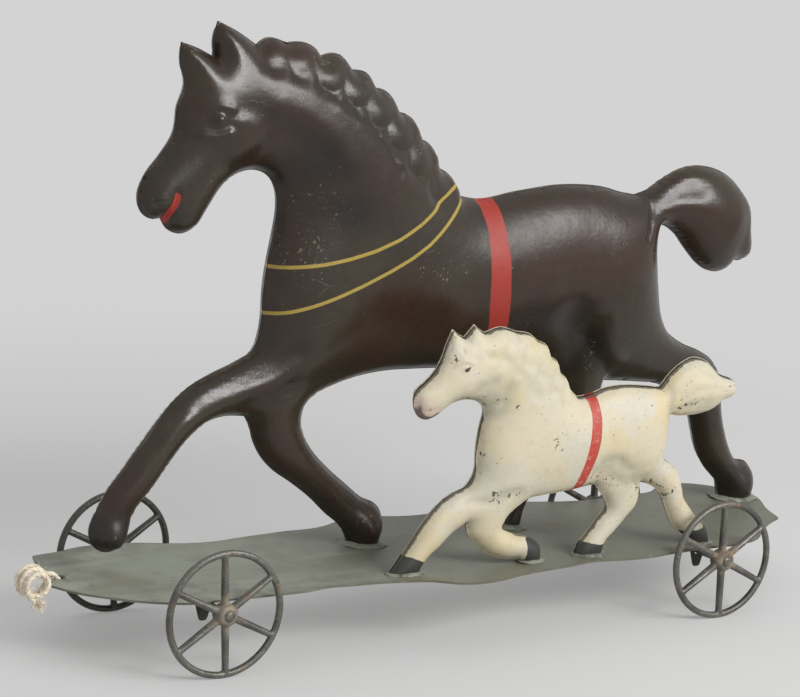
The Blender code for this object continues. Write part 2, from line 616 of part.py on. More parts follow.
def make_wheelset(name, axle_x, wheels, mesh, axle_material, wheel_material):
    """An axle with its origin on its own line, and its two wheels."""
    length = TRACK + HUB_LENGTH + 2 * AXLE_PROUD
    axle = add_object(f"{name}_axle", rod_mesh(f"{name}_axle", AXLE_RADIUS, length), axle_material)
    axle.location = (axle_x, 0.0, WHEEL_RADIUS)
    axle.rotation_euler = (math.pi / 2, 0.0, 0.0)
    for wheel_name, side in wheels:
        wheel = add_object(wheel_name, mesh, wheel_material)
        wheel.location = (axle_x, side * TRACK / 2, WHEEL_RADIUS)
        wheel.rotation_euler = (math.pi / 2, math.pi / 2, 0.0)


def knot_place(along, up, out, top):
    """A place in the knot, whose upright plane is turned by KNOT_FACING."""
    middle = Vector((*KNOT_SPOT, top + KNOT_ABOVE_PLATE))
    return middle + Matrix.Rotation(KNOT_FACING, 3, "Z") @ Vector((along, -out, up))


def string_route(top):
    """The string's own points: up through the hole, round the knot's turns, and a short end."""
    hole = Vector((*STRING_HOLE, top))
    route = [hole + Vector(offset) * MM for offset in STRING_LEAD]
    for index in range(KNOT_POINTS + 1):
        turned = index / KNOT_POINTS_PER_TURN
        angle = KNOT_START + 2 * math.pi * turned
        turns = range(len(KNOT_TURNS))
        radius, along, up = (np.interp(turned, turns, values) * MM for values in zip(*KNOT_TURNS))
        out = KNOT_PITCH * (turned - 1)
        route.append(knot_place(along + radius * math.cos(angle), up + radius * math.sin(angle), out, top))
    for along, up, out in STRING_END:
        route.append(knot_place(along * MM, up * MM, out * MM, top))
    return np.array(route)


def smooth_route(route, count):
    """Points at even spacing on a smooth curve through a route."""
    chords = np.linalg.norm(np.diff(route, axis=0), axis=1)
    stations = np.concatenate([[0.0], np.cumsum(chords)])
    slopes = np.gradient(route, stations, axis=0)
    even = np.linspace(0.0, stations[-1], count)
    spans = np.clip(np.searchsorted(stations, even, side="right") - 1, 0, len(chords) - 1)
    chord = chords[spans][:, None]
    t = (even - stations[spans])[:, None] / chord
    start, end = route[spans], route[spans + 1]
    curve = (2 * t**3 - 3 * t**2 + 1) * start + (3 * t**2 - 2 * t**3) * end
    return curve + chord * ((t**3 - 2 * t**2 + t) * slopes[spans] + (t**3 - t**2) * slopes[spans + 1])


def least_gap(points, diameter):
    """The least distance between the tube's surfaces, for points well apart along the string."""
    steps = np.linalg.norm(np.diff(points, axis=0), axis=1)
    stations = np.concatenate([[0.0], np.cumsum(steps)])
    apart = np.abs(stations[:, None] - stations[None, :]) > 3 * diameter
    distances = np.linalg.norm(points[:, None, :] - points[None, :, :], axis=2)
    return distances[apart].min() - diameter


def make_string(top, material):
    points = smooth_route(string_route(top), STRING_POINTS)
    print("pull string: least gap to itself %.2f mm" % (least_gap(points, STRING_DIAMETER) / MM))
    curve = bpy.data.curves.new("pull_string", "CURVE")
    curve.dimensions = "3D"
    curve.bevel_depth = STRING_DIAMETER / 2
    curve.bevel_resolution = 1
    curve.use_fill_caps = True
    spline = curve.splines.new("POLY")
    spline.points.add(len(points) - 1)
    for point, place in zip(spline.points, points):
        point.co = (*place, 1.0)
    curve.materials.append(material)
    string = bpy.data.objects.new("pull_string", curve)
    PARTS.objects.link(string)


def main():
    start_scene()
    dark_japan = make_material("dark_brown_japan", (0.030, 0.017, 0.014), 0.32, 0.0)
    cream_paint = make_material("cream_paint", (0.66, 0.60, 0.45), 0.45, 0.0)
    grey_paint = make_material("grey_green_paint", (0.15, 0.16, 0.13), 0.55, 0.0)
    cast_iron = make_material("cast_iron", (0.11, 0.10, 0.09), 0.5, 0.8)
    axle_wire = make_material("axle_wire", (0.20, 0.15, 0.11), 0.5, 0.8)
    bracket_tin = make_material("bracket_tin", (0.06, 0.06, 0.055), 0.5, 0.6)
    solder_metal = make_material("solder", (0.30, 0.30, 0.27), 0.45, 0.7)
    cotton = make_material("cotton_string", (0.66, 0.56, 0.40), 0.95, 0.0)

    top = WHEEL_RADIUS + PLATE_ABOVE_AXLE
    make_platform(top, grey_paint)
    strip_top = top - PLATE_TIN - GAP
    make_bracket("front_axle_bracket", FRONT_AXLE_X, strip_top, bracket_tin)
    make_bracket("rear_axle_bracket", REAR_AXLE_X, strip_top, bracket_tin)
    sides = (("left", -1), ("right", 1))
    ends = (("front", FRONT_AXLE_X, FRONT_SPOKE_LEAN), ("rear", REAR_AXLE_X, REAR_SPOKE_LEAN))
    for end, axle_x, lean in ends:
        wheel = wheel_mesh(f"{end}_wheel", lean, cast_iron)
        wheels = [(f"{end}_{side}_wheel", sign) for side, sign in sides]
        make_wheelset(end, axle_x, wheels, wheel, axle_wire, cast_iron)

    big_place = horse_place("big_horse_place", BIG_HORSE_PLACE, BIG_HORSE_TURN, top)
    small_place = horse_place("small_horse_place", SMALL_HORSE_PLACE, SMALL_HORSE_TURN, top)
    for side, sign in sides:
        horse_half(
            f"big_horse_{side}_half",
            BIG_HORSE_OUTLINE,
            BIG_HORSE_SPACING,
            BIG_HORSE_FULLNESS,
            BIG_HORSE_SWELLINGS,
            BIG_HORSE_TIN,
            sign,
            big_place,
            dark_japan,
        )
        horse_half(
            f"small_horse_{side}_half",
            SMALL_HORSE_OUTLINE,
            SMALL_HORSE_SPACING,
            SMALL_HORSE_FULLNESS,
            SMALL_HORSE_SWELLINGS,
            SMALL_HORSE_TIN,
            sign,
            small_place,
            cream_paint,
        )
    make_solder(
        "big_horse",
        BIG_HORSE_HOOVES,
        BIG_HORSE_OUTLINE,
        BIG_HORSE_SPACING,
        BIG_HORSE_FULLNESS,
        BIG_HORSE_SWELLINGS,
        big_place,
        solder_metal,
    )
    make_solder(
        "small_horse",
        SMALL_HORSE_HOOVES,
        SMALL_HORSE_OUTLINE,
        SMALL_HORSE_SPACING,
        SMALL_HORSE_FULLNESS,
        SMALL_HORSE_SWELLINGS,
        small_place,
        solder_metal,
    )
    make_string(top, cotton)


main()
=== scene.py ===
"""Tin horse platform toy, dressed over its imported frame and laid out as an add-on.

Metres, +Z up. The horses head along -X and their left sides face -Y. Horse sheets are drawn in
millimetres as (along, up) from the horse's place on the platform, then pressed into relief and
stood up where the CAD has them.
"""
import math
import random

import bmesh
import bpy
import numpy as np
from mathutils import Matrix, Vector, noise


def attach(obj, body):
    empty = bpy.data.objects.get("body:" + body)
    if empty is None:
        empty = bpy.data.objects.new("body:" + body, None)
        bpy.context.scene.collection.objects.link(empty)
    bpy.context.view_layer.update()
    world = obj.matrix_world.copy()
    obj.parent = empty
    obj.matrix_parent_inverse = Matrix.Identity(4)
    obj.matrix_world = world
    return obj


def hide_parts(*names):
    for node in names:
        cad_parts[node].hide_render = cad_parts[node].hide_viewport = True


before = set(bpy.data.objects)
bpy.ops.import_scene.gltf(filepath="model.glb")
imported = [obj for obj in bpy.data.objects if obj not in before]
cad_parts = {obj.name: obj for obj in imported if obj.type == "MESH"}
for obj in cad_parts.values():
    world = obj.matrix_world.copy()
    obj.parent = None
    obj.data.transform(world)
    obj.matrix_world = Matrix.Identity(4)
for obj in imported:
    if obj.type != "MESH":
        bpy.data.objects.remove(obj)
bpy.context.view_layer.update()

bl_info = {
    "name": "Tin horse platform toy",
    "version": (1, 0, 0),
    "blender": (4, 5, 0),
    "location": "3D View > Sidebar > Tin toy",
    "description": "Makes the pieces and finishes of a tin horse platform toy",
    "category": "Object",
}

MM = 0.001
GAP = 0.3
# Points of a sheet merge within this share of its squares, and at most within this reach
MERGE_SHARE = 0.3
MERGE_REACH = 0.3
# How many points are measured against an outline at once, which bounds the memory it takes
POINTS_AT_ONCE = 2000

# Running gear, in millimetres, as in the CAD
WHEEL_RADIUS = 22.25
RIM_WIDTH = 2.5
RIM_DEPTH = 2.35
RIM_BEVEL = 0.7
SPOKES = 6
SPOKE_LEANS = {"front": 4.0, "rear": 2.2}
SPOKE_RADIUS_AT_HUB = 1.4
SPOKE_RADIUS_AT_RIM = 1.15
SPOKE_BREADTH = 1.2
HUB_RADIUS = 4.0
HUB_LENGTH = 6.4
# Corners of the hub's rounded ends: how far inside its radius, and how far from its end
HUB_SHOULDERS = [(1.3, 0.0), (0.4, 0.7), (0.0, 1.8)]
HUB_BORE_GAP = 0.15
SPOKE_SUNK_IN_HUB = 0.8
SPOKE_SUNK_IN_RIM = 0.6
AXLE_RADIUS = 1.4
AXLE_PROUD = 0.8
# Corners of the axle's peened ends: radius, and how far from its end
AXLE_END = [(0.0, 0.0), (0.9, 0.06), (1.5, 0.28), (1.85, 0.62), (1.85, 0.78), (AXLE_RADIUS, 0.80)]
AXLE_X = {"front": -113.9, "rear": 96.9}
TRACK = 80.4
PLATE_TIN = 0.7
PLATE_TOP = WHEEL_RADIUS + 4.05
BRACKET_TIN = 0.6
BRACKET_SPAN = 51.6
BRACKET_WIDTH = 9.0
BRACKET_BEND = 1.2
EAR_BELOW_AXLE = 6.4
EAR_WIDTH = 6.6
# The ear's rounded tip: how far above its lowest point, and how wide
EAR_TIP = [(0.0, 1.4), (0.3, 2.6), (1.0, 3.4)]
STRING_HOLE = (-153.9, 4.8)
STRING_HOLE_RADIUS = 2.6

# Pull string, in millimetres, along the CAD's route. The lead starts from the hole at the
# platform's top, and the rest from the knot's middle as (along, up, out).
STRING_LEAD = [(2.7, 0.9, -3.5), (0.0, 0.0, -0.4), (-2.5, -1.5, 1.6), (-5.0, -2.9, 2.4),
               (-7.4, -3.8, 3.4)]
STRING_END = [(-1.6, -4.0, 3.7), (-0.2, -5.3, 4.0), (1.2, -5.9, 4.2)]
KNOT_SPOT = (-166.3, -1.2, 0.8)
KNOT_FACING = -8.0
KNOT_START = 52.0
KNOT_PITCH = 2.6
KNOT_POINTS_PER_TURN = 16
KNOT_POINTS = 38
# Each turn's radius, and how far along and up its middle lies
KNOT_TURNS = [(4.9, 0.1, 0.2), (4.6, 0.2, 0.2), (3.9, 1.3, -0.3)]
ROUTE_STEP = 0.45
STRING_SIDES = 18
STRAND_DEPTH = 0.12
# Fibres of the string: how far out they start, in its radii, how much they follow it, their
# shortest and longest reach, and their radius
END_FIBRES = {"start": 0.3, "along": 0.9, "reach": (1.4, 4.2), "radius": 0.12}
FUZZ_FIBRES = {"start": 0.8, "along": 0.7, "reach": (0.7, 2.4), "radius": 0.06}
FIBRE_JOINTS = 4
FIBRE_SPREAD = 0.9
FIBRE_CURL = 0.5
# Fuzz leans in over the knot by up to this much, and starts this many route points along
FUZZ_LEAN = 1.2
FUZZ_START = 24

# The photograph's view, as its camera was fitted: degrees, millimetres on a 36 mm sensor, and a
# target in millimetres with its distance in metres
CAMERA_TURN = -33.5065
CAMERA_HEIGHT = 11.68
CAMERA_ROLL = 4.2455
CAMERA_LENS = 140.59
CAMERA_TARGET = (-25.52, 0.0, 99.75)
CAMERA_DISTANCE = 1.104886

# Softboxes, in metres: place, width, height, and how high above the origin each one is aimed
SOFTBOXES = {
    "side": ((0.54, -0.93, 0.66), 0.80, 0.34, 0.10),
    "front": ((0.15, -1.00, 0.68), 0.36, 0.30, 0.10),
    "overhead": ((-0.20, 0.30, 1.25), 0.90, 0.90, 0.05),
}

# Outlines are lists of smooth runs in millimetres. Each run starts where the one before it ended,
# at a corner. Horse outlines are (along, up) from the horse's place on the platform, which is 0,
# and the hooves run on below it, because they are cut flat at HOOF_CUT.
BIG_HORSE_OUTLINE = [
    # Front ear, face and muzzle
    [(-97.5, 176.4), (-104.0, 179.4), (-110.8, 181.6)],
    [(-110.8, 181.6), (-110.6, 174.0), (-108.4, 167.5), (-110.8, 160.0), (-111.6, 151.5),
     (-116.2, 144.4), (-121.8, 137.5), (-124.3, 130.8), (-123.2, 125.2), (-119.2, 122.4),
     (-115.3, 122.6)],
    # Mouth, chin, jaw and throat
    [(-115.3, 122.6), (-112.4, 118.7), (-107.6, 116.9), (-102.8, 118.2), (-97.6, 125.0), (-92.2, 132.5),
     (-86.0, 136.6), (-79.2, 137.8), (-72.8, 135.6), (-68.7, 130.0), (-67.7, 124.0), (-68.4, 116.0),
     (-70.0, 106.0), (-71.1, 94.0), (-71.2, 84.0), (-74.0, 74.6), (-80.5, 71.2), (-91.0, 67.3),
     (-99.0, 63.6), (-105.0, 59.2), (-110.8, 52.8), (-117.6, 44.6), (-124.6, 35.8), (-130.3, 28.8),
     (-133.8, 22.6), (-136.0, 17.4), (-135.6, 12.4), (-131.6, 8.6), (-126.6, 8.4), (-122.6, 11.4),
     (-121.2, 17.0), (-119.4, 21.6), (-114.6, 27.2), (-109.8, 33.2), (-105.2, 39.2), (-99.4, 45.4),
     (-92.0, 50.4), (-85.0, 52.0), (-76.0, 51.4)],
    # Second fore leg down to its hoof
    [(-76.0, 51.4), (-73.6, 47.6), (-71.4, 41.6), (-68.2, 36.4), (-63.0, 31.2), (-54.5, 25.6),
     (-45.8, 19.3), (-38.3, 12.7), (-31.6, 7.4), (-28.8, 3.8), (-27.4, 0.6), (-27.0, -3.0)],
    [(-27.0, -3.0), (-15.4, -3.0)],
    [(-15.4, -3.0), (-15.0, 1.0), (-13.6, 6.0), (-14.4, 11.6), (-17.8, 15.0), (-22.6, 17.0),
     (-30.6, 22.9), (-39.9, 30.3), (-47.2, 37.6), (-51.2, 44.0), (-52.6, 49.4), (-51.6, 53.4),
     (-47.6, 56.6), (-40.4, 59.4), (-30.0, 62.0), (-16.8, 63.4), (-4.0, 63.2), (10.0, 62.8),
     (26.0, 63.8), (40.0, 65.6), (52.0, 65.0)],
    # Forward hind leg
    [(52.0, 65.0), (57.4, 59.0), (62.4, 51.6), (65.0, 45.0), (64.0, 38.4), (59.4, 30.4), (52.8, 21.4),
     (46.6, 12.8), (42.8, 6.6), (40.6, 1.0), (40.0, -3.0)],
    [(40.0, -3.0), (50.6, -3.0)],
    [(50.6, -3.0), (50.4, 2.0), (51.8, 6.4), (55.4, 11.4), (59.6, 17.6), (66.2, 25.6), (73.6, 33.6),
     (81.0, 40.4), (84.2, 46.0), (85.4, 52.6)],
    # Underside of the thigh and rear hind leg
    [(85.4, 52.6), (93.6, 51.8), (103.0, 50.8), (115.8, 48.6), (125.4, 43.8), (132.6, 35.8),
     (135.6, 28.0), (138.4, 20.6), (143.4, 13.6), (148.0, 9.4), (151.4, 6.2), (152.8, 1.4),
     (153.2, -3.0)],
    [(153.2, -3.0), (166.4, -3.0)],
    [(166.4, -3.0), (167.0, 1.0), (168.2, 5.4), (167.6, 10.6), (163.6, 14.6), (159.0, 15.4),
     (154.4, 20.8), (150.2, 29.6), (147.6, 38.0), (146.6, 46.0), (144.6, 52.4), (140.8, 57.0),
     (134.6, 60.6), (124.4, 64.6), (116.2, 70.0), (111.4, 77.6), (108.9, 87.0), (107.0, 97.0),
     (106.2, 106.0), (107.0, 111.6)],
    # Tail
    [(107.0, 111.6), (111.4, 110.4), (116.6, 107.2), (123.4, 100.4), (129.0, 95.4), (134.6, 92.4),
     (139.6, 91.6), (144.4, 92.9), (146.9, 95.8)],
    [(146.9, 95.8), (151.8, 95.6), (155.4, 98.2), (155.4, 103.0)],
    [(155.4, 103.0), (154.2, 108.6), (153.9, 113.0), (152.4, 117.8), (148.2, 123.0), (141.8, 128.2),
     (132.2, 132.2), (124.4, 133.2), (116.4, 132.2), (108.2, 128.8), (101.0, 124.8), (94.8, 123.1)],
    # Back
    [(94.8, 123.1), (87.4, 124.4), (78.8, 126.6), (68.4, 127.8), (57.8, 128.1), (38.0, 126.4),
     (18.6, 124.3), (10.6, 125.7)],
    # Mane, lump by lump, and the rear ear
    [(10.6, 125.7), (10.1, 128.0), (8.5, 130.6), (6.5, 132.7), (3.6, 134.8), (0.8, 136.0)],
    [(0.8, 136.0), (0.1, 138.4), (-1.1, 141.3), (-3.1, 143.7), (-5.5, 145.6), (-7.7, 146.5)],
    [(-7.7, 146.5), (-8.6, 148.3), (-10.0, 150.8), (-12.0, 153.4), (-13.9, 154.8), (-16.2, 155.9),
     (-18.6, 156.5)],
    [(-18.6, 156.5), (-19.4, 157.9), (-21.0, 160.3), (-22.9, 162.4), (-25.2, 164.0), (-27.5, 164.9),
     (-29.3, 165.0)],
    [(-29.3, 165.0), (-30.2, 166.0), (-31.6, 168.1), (-33.5, 170.1), (-35.8, 171.2), (-37.9, 171.5),
     (-40.3, 171.6)],
    [(-40.3, 171.6), (-41.0, 172.4), (-42.9, 174.5), (-44.7, 176.1), (-46.9, 177.2), (-49.5, 177.5),
     (-52.0, 177.0), (-54.0, 176.4)],
    [(-54.0, 176.4), (-55.0, 177.7), (-56.3, 179.0), (-58.5, 180.3), (-61.1, 181.2), (-63.6, 181.5),
     (-66.1, 181.4), (-68.2, 181.1)],
    [(-68.2, 181.1), (-70.7, 181.9), (-72.8, 182.6), (-74.9, 183.0), (-77.3, 182.7), (-79.3, 181.6),
     (-80.8, 180.4)],
    [(-80.8, 180.4), (-88.8, 185.0), (-96.7, 188.5)],
    [(-96.7, 188.5), (-98.2, 182.0), (-97.5, 176.4)],
]

SMALL_HORSE_OUTLINE = [
    # Front ear, face, muzzle, jaw and chest
    [(-10.3, 83.0), (-13.0, 84.2), (-15.4, 85.9)],
    [(-15.4, 85.9), (-17.4, 81.0), (-19.2, 75.5), (-22.0, 71.0), (-25.6, 67.7), (-28.9, 65.0),
     (-29.4, 60.6), (-27.9, 56.9), (-24.4, 55.0), (-20.8, 55.8), (-17.2, 57.9), (-13.7, 60.1),
     (-6.4, 61.1), (-2.0, 59.6), (0.2, 56.1), (-0.8, 50.4), (-1.5, 41.5), (-1.6, 34.0), (-4.6, 29.6),
     (-10.5, 27.3), (-15.6, 24.1), (-20.6, 19.1), (-26.2, 11.2), (-30.4, 5.6), (-33.8, 1.0),
     (-35.8, -1.5)],
    [(-35.8, -1.5), (-22.6, -1.5)],
    [(-22.6, -1.5), (-21.8, 1.0), (-19.6, 4.4), (-14.4, 8.6), (-9.4, 13.2), (-3.6, 16.6)],
    # Bent fore leg
    [(-3.6, 16.6), (-2.6, 12.4), (0.8, 8.6), (7.8, 3.6), (14.6, 1.6), (20.6, 0.8), (22.4, -1.5)],
    [(22.4, -1.5), (29.9, -1.5)],
    [(29.9, -1.5), (29.8, 1.0), (29.2, 5.0), (24.4, 8.7), (17.6, 10.6), (11.4, 13.2)],
    [(11.4, 13.2), (13.6, 17.2), (17.8, 20.4), (22.7, 23.2), (29.2, 24.0), (37.9, 24.7), (44.9, 25.5),
     (51.3, 26.4)],
    # Forward hind leg
    [(51.3, 26.4), (55.0, 22.4), (57.6, 18.0), (53.6, 12.8), (49.2, 7.4), (47.0, 4.9), (45.6, 1.4),
     (45.2, -1.5)],
    [(45.2, -1.5), (57.0, -1.5)],
    [(57.0, -1.5), (57.0, 1.0), (57.8, 4.0), (61.6, 7.6), (66.6, 12.8), (70.8, 17.4), (71.6, 21.4),
     (71.4, 25.8)],
    # Rear hind leg
    [(71.4, 25.8), (77.4, 23.8), (81.0, 21.2), (85.0, 14.2), (89.4, 7.2), (94.4, 4.0), (97.2, 1.2),
     (98.6, -1.5)],
    [(98.6, -1.5), (107.0, -1.5)],
    [(107.0, -1.5), (106.4, 1.0), (105.0, 5.0), (99.6, 9.9), (96.6, 13.4), (92.6, 18.5), (90.8, 24.3),
     (88.8, 28.3), (85.2, 31.4), (81.6, 33.8)],
    # Rump and tail
    [(81.6, 33.8), (82.0, 39.4), (82.2, 46.1), (82.6, 50.4)],
    [(82.6, 50.4), (86.6, 49.5), (91.0, 49.4), (97.4, 49.9), (103.6, 51.7), (106.5, 53.9)],
    [(106.5, 53.9), (112.2, 56.4), (112.8, 59.2), (110.4, 61.6)],
    [(110.4, 61.6), (103.8, 64.0), (97.6, 69.0), (91.6, 70.5), (86.3, 68.6), (81.8, 65.2),
     (77.4, 60.2)],
    # Back, mane and rear ear
    [(77.4, 60.2), (70.7, 61.1), (61.2, 61.9), (52.3, 61.3), (45.8, 59.4), (40.6, 58.8)],
    [(40.6, 58.8), (37.2, 61.8), (35.4, 65.4), (31.8, 68.4)],
    [(31.8, 68.4), (30.8, 71.8), (27.4, 74.2)],
    [(27.4, 74.2), (25.4, 78.2), (21.0, 80.4)],
    [(21.0, 80.4), (17.2, 83.0), (11.8, 84.0)],
    [(11.8, 84.0), (4.6, 85.9), (-2.0, 84.2)],
    [(-2.0, 84.2), (-4.4, 85.6), (-6.5, 87.2)],
    [(-6.5, 87.2), (-8.6, 84.8), (-10.3, 83.0)],
]

# The platform's outline is (along X, along Y), with the origin's X and Y
PLATFORM_OUTLINE = [
    # Rear tip, far rear corner and far edge to the front
    [(148.2, -10.0), (150.8, -2.6), (153.2, 3.4), (157.6, 11.6), (160.6, 18.6), (160.0, 25.6),
     (155.8, 33.8), (152.0, 40.4), (146.8, 45.4), (139.8, 47.3), (131.0, 44.4), (122.6, 38.6),
     (112.0, 36.6), (96.9, 36.2), (79.6, 36.8), (70.6, 39.0), (62.0, 42.0), (46.0, 43.2), (28.0, 39.0),
     (10.6, 36.6), (2.0, 37.8), (-8.0, 40.6), (-20.0, 38.8), (-30.0, 34.6), (-50.0, 32.2),
     (-66.0, 30.4), (-80.0, 28.4), (-96.0, 31.4), (-110.0, 35.6), (-123.0, 36.6), (-132.0, 36.0),
     (-140.0, 33.6), (-150.0, 31.6)],
    # Front edge
    [(-150.0, 31.6), (-152.4, 25.0), (-154.2, 18.0), (-157.4, 7.0), (-160.6, -3.0)],
    # Near edge to the rear tip
    [(-160.6, -3.0), (-157.8, -9.0), (-154.0, -16.0), (-146.0, -23.4), (-134.6, -32.0), (-125.0, -35.8),
     (-113.9, -36.4), (-97.0, -36.4), (-80.0, -37.2), (-70.0, -35.2), (-58.0, -35.6), (-44.0, -37.0),
     (-32.0, -40.2), (-23.0, -45.2), (-13.0, -47.45), (-5.0, -46.2), (3.0, -43.6), (14.0, -41.0),
     (28.0, -39.4), (41.0, -37.2), (52.0, -38.6), (66.0, -39.0), (78.0, -36.9), (96.9, -36.3),
     (110.0, -35.0), (121.0, -30.8), (131.0, -22.0), (139.0, -15.6), (148.2, -10.0)],
]

